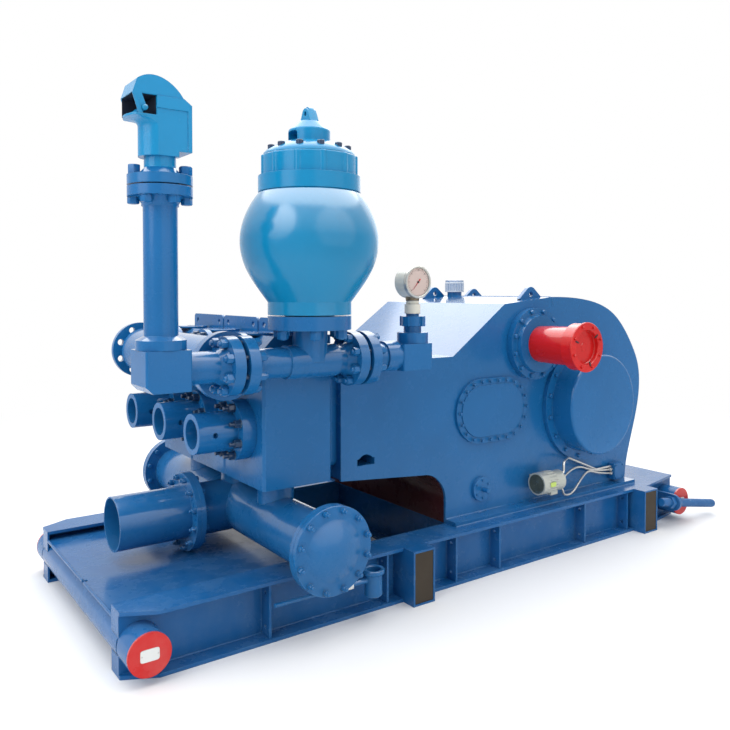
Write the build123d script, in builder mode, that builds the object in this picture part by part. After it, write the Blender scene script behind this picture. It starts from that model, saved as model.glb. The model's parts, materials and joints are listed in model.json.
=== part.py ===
# Triplex piston mud pump on its oilfield skid.
# Millimetres. +X runs from the fluid end to the power end, the gauge side is -Y,
# and the origin is the middle of the skid's underside.
import os
from build123d import *

os.makedirs("parts", exist_ok=True)

# ---------------------------------------------------------------- skid
skid_length = 4700
rail_height = 334
rail_flange_width = 220
rail_flange_t = 20
rail_web_t = 14
rail_centre_y = 792
front_snipe = 173            # length over which the outer flange edge tapers at the front
rear_snipe = 465
snipe_left_on = 13           # flange left outside the web at the rail's tip
end_plate_t = 12

beam_places = (-1000, 0, 1000, 1850)
beam_flange_width = 200
beam_flange_t = 16
beam_web_t = 12

cross_pipe_r = 109.5
cross_pipe_wall = 12
cross_pipe_z = 157
cross_pipe_inset = 100       # pipe axis behind the rail's tip
cross_pipe_reach = 962       # outer face of the end disc
end_disc_t = 12
pipe_gap = 1                 # running gap where a plate is cut round the pipe

deck_t = 10
deck_notch = 30
deck_notch_y = -150
rear_deck_t = 12
rear_apron_height = 90

lug_places = (-564, 1771)
lug_width = 168
lug_proud = 100              # lug's face outside the rail's flange
lug_reach = rail_centre_y + rail_flange_width / 2 + lug_proud
lug_rim = 12
lug_recess = 10
lug_face_t = 6
lug_face_gap = 1
stiffener_places = (-1560, -760, -199, 199, 1100, 1620)
stiffener_t = 14
stiffener_width = 92
stiffener_hole_r = 12
stiffener_hole_inset = 52

screw_inset = 290            # bracket that holds the jack screw, ahead of the rail's tail
screw_x = skid_length / 2 - screw_inset
screw_y = -1012
screw_z = 190
screw_r = 32
screw_droop = 10             # degrees below level, towards the tail
screw_front = 175            # screw ahead of the bracket
screw_rear = 590             # screw behind the bracket
screw_nut_r = 50
screw_nut_t = 46
bracket_t = 22
bracket_eye_r = 66
bracket_half_height = 70
screw_hole_gap = 3
nut_clearance = 10           # clears the bracket on the slant

# ---------------------------------------------------------------- fluid end
module_pitch = 509
module_gap = 5
module_front_x = -1531
module_back_x = -1078
module_bottom_z = rail_height + 451
module_top_z = rail_height + 1316
module_edge = 14
module_nose = 70             # corner taken off the module's front top

head_z = rail_height + 771
head_boss_r = 175
head_boss_length = 84
head_tube_r = 115
head_tube_bore_r = 84
head_tip_x = -1849
head_bar_hole_r = 15
head_bar_hole_back = 95      # bar holes behind the tube's mouth
head_bore_floor = 40         # solid end left in front of the module

valve_cover_r = 105
valve_cover_height = 62
valve_cover_x = -1420
valve_cover_bar_r = 16

top_plate_x = -1290
top_plate_t = 16
top_plate_width = 488
top_plate_height = 92
top_plate_corner = 28
top_plate_hole_r = 17
top_plate_hole_pitch = 364
top_plate_clearance = 22     # near plate stops this far from the dampener's flange

# ---------------------------------------------------------------- suction
suction_r = 162
suction_wall = 10
suction_x = -1317
suction_z = rail_height + 188
suction_face_y = 1152
suction_flange_r = 241.5
suction_flange_t = 30
suction_bolt_circle_r = 216
suction_bolt_hole_r = 13
suction_bolt_count = 12
branch_face_x = -1671
inlet_tip_x = -2139
riser_r = 110
riser_pad_r = 165
riser_pad_t = 26
cover_dish_r = 150
cover_dish_depth = 12

drain_x = -1050
drain_y = -968
drain_z = 290
drain_body_r = 48
drain_body_height = 150
drain_neck_r = 28
lever_r = 11
lever_length = 560

# ---------------------------------------------------------------- discharge
manifold_r = 150
manifold_bore_r = 65
manifold_x = -1735
manifold_z = rail_height + 1166
manifold_near_y = -740
manifold_far_y = 700
manifold_flange_r = 187.5
manifold_flange_t = 60
manifold_far_flange_t = 36
manifold_neck_r = 112
manifold_neck_length = 70     # narrower neck behind the far flange, clear of its bolts
manifold_bolt_circle_r = 146
manifold_bolt_hole_r = 20.5
manifold_bolt_count = 8
neck_r = 112
neck_pad_r = 165
neck_pad_t = 34

line_y = -905
line_z = rail_height + 1184
line_r = 82.5
line_flange_r = 155.5
line_flange_t = 60
line_hub = 45                # tapered hub behind each line flange
line_hub_r = 108
riser_flange_t = 48
joint_gap = 6                # open gap between two bolted flanges on the uprights
line_gap = 26                # and between those of the level line
joint_ring_r = 88

block_x = -2164
block_size = 230
block_top_z = rail_height + 1286
block_bottom_z = rail_height + 1083
block_edge = 34
collar_r = 122
collar_height = 48
collar_taper = 20
riser_height = 789           # riser's top face above the block
port_x = -1625               # side port that joins the manifold to the line
port_r = 66

relief_neck_r = 76
relief_hub_r = 108
relief_hub_t = 38
relief_neck_height = 49      # open neck between the hub and the body
relief_front_r = 92          # half-round front, its axis a little ahead of the riser's
relief_front_x = -12
relief_front_height = 140
relief_lip_r = 160           # the front flares out to a lip
relief_lip_z = 188
relief_lip_t = 10
relief_half_width = 88
relief_back = 128            # back face from the riser's axis
relief_back_plate_t = 20
relief_back_step = 25        # back plate's foot above the body's underside
relief_shelf_front = -46     # front of the shelf that carries the hood
relief_shelf_z = 280
belt_height = 58
belt_proud = 5
hood_front = -161
hood_front_lean = 22
hood_front_height = 66
hood_crown_height = 92
hood_crown_x = -42
hood_rear_x = 62
hood_rear_height = 34
hood_leg_t = 9
hood_leg_width = 20
release_pin_x = -105
release_pin_drop = 66
release_pin_r = 13

joint_1_x = -1766            # middle of the flange joint ahead of the cross
joint_2_x = -998             # middle of the flange joint behind the cross
cross_x = -1317
cross_run_r = 92
cross_neck_r = 99
cross_flange_r = 231
cross_flange_bottom_z = rail_height + 1360
cross_flange_t = 76

# ---------------------------------------------------------------- pulsation dampener
dampener_base_t = 70
dampener_waist_r = 231       # (radius, height above the dampener's foot) up the ball
dampener_low_r = 297
dampener_low_rise = 92
dampener_belly_r = 350
dampener_belly_rise = 184
dampener_max_r = 382
dampener_max_rise = 340
dampener_high_r = 352
dampener_high_rise = 475
dampener_shoulder_r = 276
dampener_shoulder_rise = 599
cover_flange_r = 282
cover_flange_t = 92
cover_groove_t = 5
cover_band_r = 264
cover_band_t = 105
cover_crown_r = 244
cover_crown_rise = 56
cover_crown_slope = 65       # degrees from the upright
cover_lug_r = 26             # bolt bosses that stand proud of the cover's band
cover_lug_count = 12
cap_r = 116
cap_height = 88
cap_roof_rise = 50
cap_crown_r = 58
cap_window_width = 96
cap_window_height = 64
cap_window_depth = 70
cap_eye_base = 104
cap_eye_height = 90
cap_eye_top_r = 22
cap_eye_hole_r = 13
cap_eye_t = 30

# ---------------------------------------------------------------- gauge
gauge_x = -583
gauge_block_length = 222
gauge_block_x = -611
gauge_block_width = 192
gauge_block_top_z = rail_height + 1256
gauge_block_bottom_z = rail_height + 1096
gauge_stub_r = 78
gauge_sleeve = 98            # sleeve on the stub, against the block
gauge_sleeve_r = 90
gauge_collar_r = 95
gauge_collar_t = 64
gauge_union_neck_r = 54
gauge_union_neck = 38
gauge_nut_r = 80
gauge_nut_t = 60
gauge_nut_lug = 26
gauge_seat_r = 49
gauge_seat_gap = 16          # bare stem between the union and the gauge's seat
gauge_seat_t = 58
gauge_stem_r = 40
gauge_stem = 36
gauge_r = 98
gauge_depth = 104

# ---------------------------------------------------------------- power end
frame_half_width = 690
frame_foot_ledge = 100
frame_foot_t = 28
frame_front_x = -967
frame_front_bottom_z = rail_height + 411
frame_low_top_z = rail_height + 1127
frame_slope_start_x = -53
frame_slope_end_x = 444
frame_slope_end_z = rail_height + 1479
frame_peak_x = 952
frame_peak_z = rail_height + 1527
frame_crown_x = 1340
frame_crown_z = rail_height + 1504
frame_shoulder_x = 1703
frame_shoulder_z = rail_height + 1385
frame_hip_x = 1935
frame_hip_z = rail_height + 1146
frame_back_x = 2041
frame_back_z = rail_height + 941
frame_bulge_x = 2057
frame_bulge_z = rail_height + 818
frame_calf_x = 1963
frame_calf_z = rail_height + 402
frame_heel_z = rail_height + 157
frame_instep_x = -168
frame_instep_z = rail_height + 288
frame_arch_x = -300
frame_arch_z = rail_height + 354
frame_heel_x = -116
frame_tail_x = 1862
frame_edge = 16
frame_port_x = -779
frame_port_z = rail_height + 488
frame_port_r = 66
frame_port_depth = 180

adapter_half_width = 640
adapter_bottom_z = rail_height + 496
adapter_top_z = rail_height + 1066

cover_x = 314
cover_z = rail_height + 734
oval_length = 694
oval_height = 454
oval_t = 18
oval_pad_t = 14
oval_pad_inset = 46

pinion_x = 727
pinion_z = rail_height + 1186
pinion_flange_r = 262
pinion_flange_t = 52
pinion_hub_r = 214
pinion_hub_t = 36
guard_r = 172
guard_length = 412
guard_ring_r = 184
guard_ring_t = 34
guard_recess_r = 140
guard_recess = 26

bearing_x = 1300
bearing_z = rail_height + 706
bearing_ring_r = 450
bearing_ring_t = 34
bearing_drum_r = 380
bearing_reach = 215
bearing_edge = 18

side_cap_x = 207
side_cap_z = rail_height + 188
side_cap_r = 84
side_cap_t = 24
cock_r = 16
cock_length = 60

motor_x = 765
motor_z = rail_height + 178
motor_stand_off = 125
motor_r = 74
motor_length = 236
motor_fan_r = 80
motor_fan_length = 70
motor_foot_width = 110
motor_box = 74

box_x = 1700
box_z = rail_height + 112
box_width = 120
box_depth = 60
box_height = 130
tube_r = 9
tube_rise = 96
tube_exit = 30
tube_stub = 60
tube_reach = 185
tube_bow = 50
tube_gap = 12
tube_entry = 40
tube_bend_r = 34

ear_places = (
    (845, -560, rail_height + 1517),
    (857, 560, rail_height + 1518),
    (1331, 560, rail_height + 1504),
)
ear_r = 46
ear_hole_r = 22
ear_t = 28

breather_x = 1000
breather_y = 450
breather_base_r = 62
breather_base_height = 36
breather_cap_r = 80
breather_cap_height = 100

# ================================================================ worked-out places
half_length = skid_length / 2
rail_web_inner = rail_centre_y - rail_web_t / 2
rail_web_outer = rail_centre_y + rail_web_t / 2
rail_inner_edge = rail_centre_y - rail_flange_width / 2
rail_outer_edge = rail_centre_y + rail_flange_width / 2
cross_pipe_x = half_length - cross_pipe_inset
module_width = module_pitch - module_gap
module_mid_x = (module_front_x + module_back_x) / 2
bottom_aligned = (Align.CENTER, Align.MIN)
top_aligned = (Align.CENTER, Align.MAX)
row_of_three = (-module_pitch, 0, module_pitch)

# ================================================================ skid rails
with BuildPart() as skid_rails:
    with BuildSketch(Plane.YZ.offset(-half_length)):
        with Locations((rail_centre_y, 0)):
            Rectangle(rail_flange_width, rail_flange_t, align=bottom_aligned)
            Rectangle(rail_web_t, rail_height, align=bottom_aligned)
        with Locations((rail_centre_y, rail_height)):
            Rectangle(rail_flange_width, rail_flange_t, align=top_aligned)
    extrude(amount=skid_length)
    # plates close the inner half of the section at each tip, cut round the cross pipes
    plate_width = rail_web_inner - rail_inner_edge
    with BuildSketch(Plane.XY.offset(rail_flange_t)):
        for tip in (-1, 1):
            with Locations((tip * (half_length - end_plate_t / 2), rail_inner_edge)):
                Rectangle(end_plate_t, plate_width, align=bottom_aligned)
    extrude(amount=rail_height - 2 * rail_flange_t)
    with BuildSketch(Plane.XZ.offset(-rail_inner_edge)):
        with Locations((-cross_pipe_x, cross_pipe_z), (cross_pipe_x, cross_pipe_z)):
            Circle(cross_pipe_r + pipe_gap)
    extrude(amount=-plate_width, mode=Mode.SUBTRACT)
    # the outer flange edges taper in towards the tips
    with BuildSketch(Plane.XY):
        for tip, snipe in ((-1, front_snipe), (1, rear_snipe)):
            with BuildLine():
                Polyline(
                    (tip * half_length, rail_web_outer + snipe_left_on),
                    (tip * half_length, rail_outer_edge),
                    (tip * (half_length - snipe), rail_outer_edge),
                    close=True,
                )
            make_face()
    extrude(amount=rail_height, mode=Mode.SUBTRACT)
    mirror(about=Plane.XZ)
skid_rails.part.label = "skid_rails"
export_step(skid_rails.part, "parts/skid_rails.step")

# Cross beams: I-sections with coped ends that reach in to the rails' webs.
with BuildPart() as skid_cross_beams:
    with BuildSketch(Plane.XZ):
        for x in beam_places:
            with Locations((x, 0)):
                Rectangle(beam_flange_width, beam_flange_t, align=bottom_aligned)
                Rectangle(beam_web_t, rail_height, align=bottom_aligned)
            with Locations((x, rail_height)):
                Rectangle(beam_flange_width, beam_flange_t, align=top_aligned)
    extrude(amount=rail_inner_edge, both=True)
    with BuildSketch(Plane.XZ):
        for x in beam_places:
            with Locations((x, rail_height / 2)):
                Rectangle(beam_web_t, rail_height - 2 * rail_flange_t)
    extrude(amount=rail_web_inner, both=True)
skid_cross_beams.part.label = "skid_cross_beams"
export_step(skid_cross_beams.part, "parts/skid_cross_beams.step")

# End cross pipes: a length between the rails, and a stub outside each web.
with BuildPart() as end_cross_pipes:
    with BuildSketch(Plane.XZ):
        with Locations((-cross_pipe_x, cross_pipe_z), (cross_pipe_x, cross_pipe_z)):
            Circle(cross_pipe_r)
            Circle(cross_pipe_r - cross_pipe_wall, mode=Mode.SUBTRACT)
    extrude(amount=rail_web_inner, both=True)
    for side in (-1, 1):
        with BuildSketch(Plane.XZ.offset(side * rail_web_outer)):
            with Locations((-cross_pipe_x, cross_pipe_z), (cross_pipe_x, cross_pipe_z)):
                Circle(cross_pipe_r)
                Circle(cross_pipe_r - cross_pipe_wall, mode=Mode.SUBTRACT)
        extrude(amount=side * (cross_pipe_reach - end_disc_t - rail_web_outer))
end_cross_pipes.part.label = "end_cross_pipes"
export_step(end_cross_pipes.part, "parts/end_cross_pipes.step")

with BuildPart() as pipe_end_discs:
    for side in (-1, 1):
        with BuildSketch(Plane.XZ.offset(side * (cross_pipe_reach - end_disc_t))):
            with Locations((-cross_pipe_x, cross_pipe_z), (cross_pipe_x, cross_pipe_z)):
                Circle(cross_pipe_r)
        extrude(amount=side * end_disc_t)
pipe_end_discs.part.label = "pipe_end_discs"
export_step(pipe_end_discs.part, "parts/pipe_end_discs.step")

# Front deck: a plate on the front pipe's crest, between the rails' webs.
front_beam_web_x = beam_places[0] - beam_web_t / 2
deck_main_front = -half_length + end_plate_t
with BuildPart() as front_deck:
    with BuildSketch(Plane.XY.offset(cross_pipe_z + cross_pipe_r)):
        with Locations(((deck_main_front + front_beam_web_x) / 2, 0)):
            Rectangle(front_beam_web_x - deck_main_front, 2 * rail_web_inner)
        with Locations((-half_length + end_plate_t / 2, 0)):
            Rectangle(end_plate_t, 2 * rail_inner_edge)
        with Locations((-half_length, deck_notch_y)):
            Rectangle(2 * deck_notch, deck_notch, mode=Mode.SUBTRACT)
    extrude(amount=deck_t)
front_deck.part.label = "front_deck"
export_step(front_deck.part, "parts/front_deck.step")

# Rear deck: flush with the rails, with an apron down its tail edge.
rear_deck_front = beam_places[-1] + beam_flange_width / 2
with BuildPart() as rear_deck:
    with BuildSketch(Plane.XY.offset(rail_height - rear_deck_t)):
        with Locations(((rear_deck_front + half_length) / 2, 0)):
            Rectangle(half_length - rear_deck_front, 2 * rail_inner_edge)
    extrude(amount=rear_deck_t)
    with BuildSketch(Plane.XY.offset(rail_height - rear_deck_t)):
        with Locations((half_length - end_plate_t / 2, 0)):
            Rectangle(end_plate_t, 2 * rail_inner_edge)
    extrude(amount=-rear_apron_height)
rear_deck.part.label = "rear_deck"
export_step(rear_deck.part, "parts/rear_deck.step")

# Side lugs: closed stubs off the rails' webs, with a shallow recess in each outer end.
with BuildPart() as rail_lugs:
    with BuildSketch(Plane.XZ.offset(-rail_web_outer)):
        for x in lug_places:
            with Locations((x, rail_height / 2)):
                Rectangle(lug_width, rail_height - 2 * rail_flange_t)
    extrude(amount=-(rail_outer_edge - rail_web_outer))
    with BuildSketch(Plane.XZ.offset(-rail_outer_edge)):
        for x in lug_places:
            with Locations((x, rail_height / 2)):
                Rectangle(lug_width, rail_height)
    extrude(amount=-(lug_reach - rail_outer_edge))
    with BuildSketch(Plane.XZ.offset(-lug_reach)):
        for x in lug_places:
            with Locations((x, rail_height / 2)):
                Rectangle(lug_width - 2 * lug_rim, rail_height - 2 * lug_rim)
    extrude(amount=lug_recess, mode=Mode.SUBTRACT)
    mirror(about=Plane.XZ)
rail_lugs.part.label = "rail_lugs"
export_step(rail_lugs.part, "parts/rail_lugs.step")

lug_face_width = lug_width - 2 * lug_rim - 2 * lug_face_gap
lug_face_height = rail_height - 2 * lug_rim - 2 * lug_face_gap
with BuildPart() as lug_face_plates:
    with BuildSketch(Plane.XZ.offset(-(lug_reach - lug_recess))):
        for x in lug_places:
            with Locations((x, rail_height / 2)):
                Rectangle(lug_face_width, lug_face_height)
    extrude(amount=-lug_face_t)
    mirror(about=Plane.XZ)
lug_face_plates.part.label = "lug_face_plates"
export_step(lug_face_plates.part, "parts/lug_face_plates.step")

# Web stiffeners: bolted plates between the flanges outside each web.
hole_z_half = rail_height / 2 - rail_flange_t - stiffener_hole_inset
with BuildPart() as web_stiffeners:
    for x in stiffener_places:
        with BuildSketch(Plane.YZ.offset(x - stiffener_t / 2)):
            with Locations((rail_web_outer + stiffener_width / 2, rail_height / 2)):
                Rectangle(stiffener_width, rail_height - 2 * rail_flange_t)
            with Locations(
                (rail_web_outer + stiffener_width / 2, rail_height / 2 - hole_z_half),
                (rail_web_outer + stiffener_width / 2, rail_height / 2 + hole_z_half),
            ):
                Circle(stiffener_hole_r, mode=Mode.SUBTRACT)
        extrude(amount=stiffener_t)
    mirror(about=Plane.XZ)
web_stiffeners.part.label = "web_stiffeners"
export_step(web_stiffeners.part, "parts/web_stiffeners.step")

# Jack screw bracket: an eye plate off the near web.
with BuildPart() as jack_bracket:
    with BuildSketch(Plane.YZ.offset(screw_x - bracket_t / 2)):
        with Locations(((screw_y - rail_web_outer) / 2, screw_z)):
            Rectangle(-screw_y - rail_web_outer, 2 * bracket_half_height - 2 * screw_hole_gap)
        with Locations((screw_y, screw_z)):
            Circle(bracket_eye_r)
            Circle(screw_r + screw_hole_gap, mode=Mode.SUBTRACT)
    extrude(amount=bracket_t)
jack_bracket.part.label = "jack_bracket"
export_step(jack_bracket.part, "parts/jack_bracket.step")

# Jack screw: a rod that droops a little, clamped by a nut on each side of the bracket.
screw_plane = Plane(
    origin=(screw_x, screw_y, screw_z),
    x_dir=(0, 1, 0),
    z_dir=Vector(1, 0, 0).rotate(Axis.Y, screw_droop),
)
nut_stand_off = bracket_t / 2 + nut_clearance
with BuildPart() as jack_screw:
    with BuildSketch(screw_plane.offset(-screw_front)):
        Circle(screw_r)
    extrude(amount=screw_front + screw_rear)
    for start in (-nut_stand_off - screw_nut_t, nut_stand_off):
        with BuildSketch(screw_plane.offset(start)):
            RegularPolygon(screw_nut_r, 6)
        extrude(amount=screw_nut_t)
    chamfer(jack_screw.faces().sort_by(Axis.X)[-1].edges(), 6)
jack_screw.part.label = "jack_screw"
export_step(jack_screw.part, "parts/jack_screw.step")

# ================================================================ suction manifold
branch_start_x = suction_x
riser_top_of_pad = module_bottom_z
with BuildPart() as suction_manifold:
    with BuildSketch(Plane.XZ):
        with Locations((suction_x, suction_z)):
            Circle(suction_r)
    extrude(amount=suction_face_y - suction_flange_t, both=True)
    with BuildSketch(Plane.YZ.offset(suction_x)):
        with Locations((0, suction_z)):
            Circle(suction_r)
    extrude(amount=branch_face_x - suction_x)
    # end flanges and the branch flange
    for side in (-1, 1):
        with BuildSketch(Plane.XZ.offset(side * (suction_face_y - suction_flange_t))):
            with Locations((suction_x, suction_z)):
                Circle(suction_flange_r)
                with PolarLocations(suction_bolt_circle_r, suction_bolt_count, 15):
                    Circle(suction_bolt_hole_r, mode=Mode.SUBTRACT)
        extrude(amount=-side * suction_flange_t)
    with BuildSketch(Plane.YZ.offset(branch_face_x)):
        with Locations((0, suction_z)):
            Circle(suction_flange_r)
            with PolarLocations(suction_bolt_circle_r, suction_bolt_count, 15):
                Circle(suction_bolt_hole_r, mode=Mode.SUBTRACT)
    extrude(amount=suction_flange_t)
    # the bores
    with BuildSketch(Plane.XZ):
        with Locations((suction_x, suction_z)):
            Circle(suction_r - suction_wall)
    extrude(amount=suction_face_y, both=True, mode=Mode.SUBTRACT)
    with BuildSketch(Plane.YZ.offset(suction_x)):
        with Locations((0, suction_z)):
            Circle(suction_r - suction_wall)
    extrude(amount=branch_face_x - suction_x, mode=Mode.SUBTRACT)
    with BuildSketch(Plane.XY.offset(suction_z)):
        with Locations(*[(suction_x, y) for y in row_of_three]):
            Circle(riser_r - suction_wall)
    extrude(amount=suction_r + 1, mode=Mode.SUBTRACT)
suction_manifold.part.label = "suction_manifold"
export_step(suction_manifold.part, "parts/suction_manifold.step")

# Risers: three short pipes from the manifold's crown up to a pad under each module.
with BuildPart() as suction_risers:
    with BuildSketch(Plane.XY.offset(suction_z + riser_r)):
        with Locations(*[(suction_x, y) for y in row_of_three]):
            Circle(riser_r)
    extrude(amount=module_bottom_z - suction_z - riser_r)
    with BuildSketch(Plane.XY.offset(module_bottom_z)):
        with Locations(*[(suction_x, y) for y in row_of_three]):
            Circle(riser_pad_r)
    extrude(amount=-riser_pad_t)
    with BuildSketch(Plane.XY.offset(suction_z)):
        with Locations(*[(suction_x, y) for y in row_of_three]):
            Circle(riser_r - suction_wall)
    extrude(amount=module_bottom_z - suction_z, mode=Mode.SUBTRACT)
    with BuildSketch(Plane.XZ):
        with Locations((suction_x, suction_z)):
            Circle(suction_r)
    extrude(amount=suction_face_y, both=True, mode=Mode.SUBTRACT)
suction_risers.part.label = "suction_risers"
export_step(suction_risers.part, "parts/suction_risers.step")

# Blind covers: the middle of each is dished inside a raised rim.
with BuildPart() as suction_covers:
    for side in (-1, 1):
        with BuildSketch(Plane.XZ.offset(side * (suction_face_y - suction_flange_t))):
            with Locations((suction_x, suction_z)):
                Circle(suction_flange_r)
                with PolarLocations(suction_bolt_circle_r, suction_bolt_count, 15):
                    Circle(suction_bolt_hole_r, mode=Mode.SUBTRACT)
        extrude(amount=side * suction_flange_t)
        with BuildSketch(Plane.XZ.offset(side * suction_face_y)):
            with Locations((suction_x, suction_z)):
                Circle(cover_dish_r)
        extrude(amount=-side * cover_dish_depth, taper=25, mode=Mode.SUBTRACT)
suction_covers.part.label = "suction_covers"
export_step(suction_covers.part, "parts/suction_covers.step")

# Inlet pipe: a flange and an open thin-walled stub.
with BuildPart() as suction_inlet_pipe:
    with BuildSketch(Plane.YZ.offset(branch_face_x)):
        with Locations((0, suction_z)):
            Circle(suction_flange_r)
            with PolarLocations(suction_bolt_circle_r, suction_bolt_count, 15):
                Circle(suction_bolt_hole_r, mode=Mode.SUBTRACT)
    extrude(amount=-suction_flange_t)
    with BuildSketch(Plane.YZ.offset(branch_face_x)):
        with Locations((0, suction_z)):
            Circle(suction_r)
    extrude(amount=inlet_tip_x - branch_face_x)
    with BuildSketch(Plane.YZ.offset(branch_face_x)):
        with Locations((0, suction_z)):
            Circle(suction_r - suction_wall)
    extrude(amount=inlet_tip_x - branch_face_x, mode=Mode.SUBTRACT)
suction_inlet_pipe.part.label = "suction_inlet_pipe"
export_step(suction_inlet_pipe.part, "parts/suction_inlet_pipe.step")

# Drain valve on the near rail: a round body on a pipe off the web, with its lever.
with BuildPart() as drain_valve:
    with BuildSketch(Plane.XY.offset(drain_z - drain_body_height)):
        with Locations((drain_x, drain_y)):
            Circle(drain_body_r)
    extrude(amount=drain_body_height)
    with BuildSketch(Plane.XZ.offset(rail_web_outer)):
        with Locations((drain_x, drain_z - drain_body_height / 2)):
            Circle(drain_neck_r)
    extrude(amount=-drain_y - rail_web_outer)
    with BuildSketch(Plane.YZ.offset(drain_x)):
        with Locations((drain_y, drain_z - drain_body_height / 2)):
            Circle(drain_neck_r)
    extrude(amount=-drain_body_r * 2)
    fillet(drain_valve.faces().sort_by(Axis.Z)[-1].edges(), drain_body_r / 3)
    fillet(drain_valve.faces().sort_by(Axis.Z)[0].edges(), drain_body_r / 3)
    with BuildSketch(Plane.YZ.offset(drain_x - drain_body_r * 2)):
        with Locations((drain_y, drain_z - drain_body_height / 2)):
            Circle(lever_r)
    extrude(amount=-lever_length)
    fillet(drain_valve.faces().sort_by(Axis.X)[0].edges(), lever_r / 2)
drain_valve.part.label = "drain_valve"
export_step(drain_valve.part, "parts/drain_valve.step")

# ================================================================ fluid end
with BuildPart() as fluid_modules:
    for y in row_of_three:
        with BuildSketch(Plane.XZ.offset(-y - module_width / 2)):
            with BuildLine():
                Polyline(
                    (module_back_x, module_bottom_z),
                    (module_back_x, module_top_z),
                    (module_front_x + module_nose, module_top_z),
                    (module_front_x, module_top_z - module_nose),
                    (module_front_x, module_bottom_z),
                    close=True,
                )
            make_face()
        extrude(amount=module_width)
    chamfer(fluid_modules.edges().filter_by(Axis.Z), module_edge)
fluid_modules.part.label = "fluid_modules"
export_step(fluid_modules.part, "parts/fluid_modules.step")

# Cylinder heads: a studded boss and an open tube drilled for a turning bar.
head_boss_front = module_front_x - head_boss_length
head_tube_length = head_boss_front - head_tip_x
with BuildPart() as cylinder_heads:
    for y in row_of_three:
        with BuildSketch(Plane.YZ.offset(module_front_x)):
            with Locations((y, head_z)):
                Circle(head_boss_r)
        extrude(amount=-head_boss_length)
        with BuildSketch(Plane.YZ.offset(head_boss_front)):
            with Locations((y, head_z)):
                Circle(head_tube_r)
        extrude(amount=-head_tube_length)
        with BuildSketch(Plane.YZ.offset(head_tip_x)):
            with Locations((y, head_z)):
                Circle(head_tube_bore_r)
        extrude(amount=module_front_x - head_bore_floor - head_tip_x, mode=Mode.SUBTRACT)
        with BuildSketch(Plane.XY.offset(head_z)):
            with Locations((head_tip_x + head_bar_hole_back, y)):
                Circle(head_bar_hole_r)
        extrude(amount=head_tube_r + 1, both=True, mode=Mode.SUBTRACT)
        with BuildSketch(Plane.XZ.offset(-y)):
            with Locations((head_tip_x + head_bar_hole_back, head_z)):
                Circle(head_bar_hole_r)
        extrude(amount=head_tube_r + 1, both=True, mode=Mode.SUBTRACT)
cylinder_heads.part.label = "cylinder_heads"
export_step(cylinder_heads.part, "parts/cylinder_heads.step")

# Valve covers on the module tops, each cross-drilled for a bar.
with BuildPart() as valve_covers:
    with BuildSketch(Plane.XY.offset(module_top_z)):
        with Locations(*[(valve_cover_x, y) for y in row_of_three]):
            Circle(valve_cover_r)
    extrude(amount=valve_cover_height)
    chamfer(valve_covers.faces().group_by(Axis.Z)[-1].edges(), 8)
    with BuildSketch(Plane.XZ.offset(-module_pitch - valve_cover_r - 1)):
        with Locations((valve_cover_x, module_top_z + valve_cover_height * 0.55)):
            Circle(valve_cover_bar_r)
    extrude(amount=2 * (module_pitch + valve_cover_r + 1), mode=Mode.SUBTRACT)
valve_covers.part.label = "valve_covers"
export_step(valve_covers.part, "parts/valve_covers.step")

with BuildPart() as module_top_plates:
    for y in row_of_three:
        with BuildSketch(Plane.YZ.offset(top_plate_x - top_plate_t / 2)):
            with Locations((y, module_top_z)):
                Rectangle(top_plate_width, top_plate_height, align=bottom_aligned)
            with Locations(
                (y - top_plate_hole_pitch / 2, module_top_z + top_plate_height / 2),
                (y + top_plate_hole_pitch / 2, module_top_z + top_plate_height / 2),
            ):
                Circle(top_plate_hole_r, mode=Mode.SUBTRACT)
        extrude(amount=top_plate_t)
    near_plate_edge = line_y + cross_flange_r + top_plate_clearance
    with BuildSketch(Plane.YZ.offset(top_plate_x - top_plate_t / 2)):
        with Locations((near_plate_edge, module_top_z)):
            Rectangle(top_plate_width, top_plate_height, align=(Align.MAX, Align.MIN))
    extrude(amount=top_plate_t, mode=Mode.SUBTRACT)
    fillet(module_top_plates.edges().filter_by(Axis.X).group_by(Axis.Z)[-1], top_plate_corner)
module_top_plates.part.label = "module_top_plates"
export_step(module_top_plates.part, "parts/module_top_plates.step")

# ================================================================ discharge
with BuildPart() as discharge_manifold:
    with BuildSketch(Plane.XZ.offset(-manifold_near_y)):
        with Locations((manifold_x, manifold_z)):
            Circle(manifold_neck_r)
    extrude(amount=manifold_near_y - manifold_far_y)
    with BuildSketch(Plane.XZ.offset(-manifold_near_y)):
        with Locations((manifold_x, manifold_z)):
            Circle(manifold_r)
    extrude(amount=manifold_near_y - manifold_far_y + manifold_far_flange_t + manifold_neck_length)
    for face_y, inward, flange_t in (
        (manifold_near_y, -1, manifold_flange_t),
        (manifold_far_y, 1, manifold_far_flange_t),
    ):
        with BuildSketch(Plane.XZ.offset(-face_y)):
            with Locations((manifold_x, manifold_z)):
                Circle(manifold_flange_r)
        extrude(amount=inward * flange_t)
    with BuildSketch(Plane.XZ.offset(-manifold_far_y)):
        with Locations((manifold_x, manifold_z)):
            with PolarLocations(manifold_bolt_circle_r, manifold_bolt_count, 22.5):
                Circle(manifold_bolt_hole_r)
    extrude(amount=manifold_far_flange_t, mode=Mode.SUBTRACT)
    for y in row_of_three:
        with BuildSketch(Plane.YZ.offset(manifold_x)):
            with Locations((y, manifold_z)):
                Circle(neck_r)
        extrude(amount=module_front_x - manifold_x)
        with BuildSketch(Plane.YZ.offset(module_front_x)):
            with Locations((y, manifold_z)):
                Circle(neck_pad_r)
        extrude(amount=-neck_pad_t)
    with BuildSketch(Plane.XZ.offset(-manifold_far_y)):
        with Locations((manifold_x, manifold_z)):
            Circle(manifold_bore_r)
    extrude(amount=manifold_far_y - manifold_near_y - manifold_flange_t, mode=Mode.SUBTRACT)
discharge_manifold.part.label = "discharge_manifold"
export_step(discharge_manifold.part, "parts/discharge_manifold.step")

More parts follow.
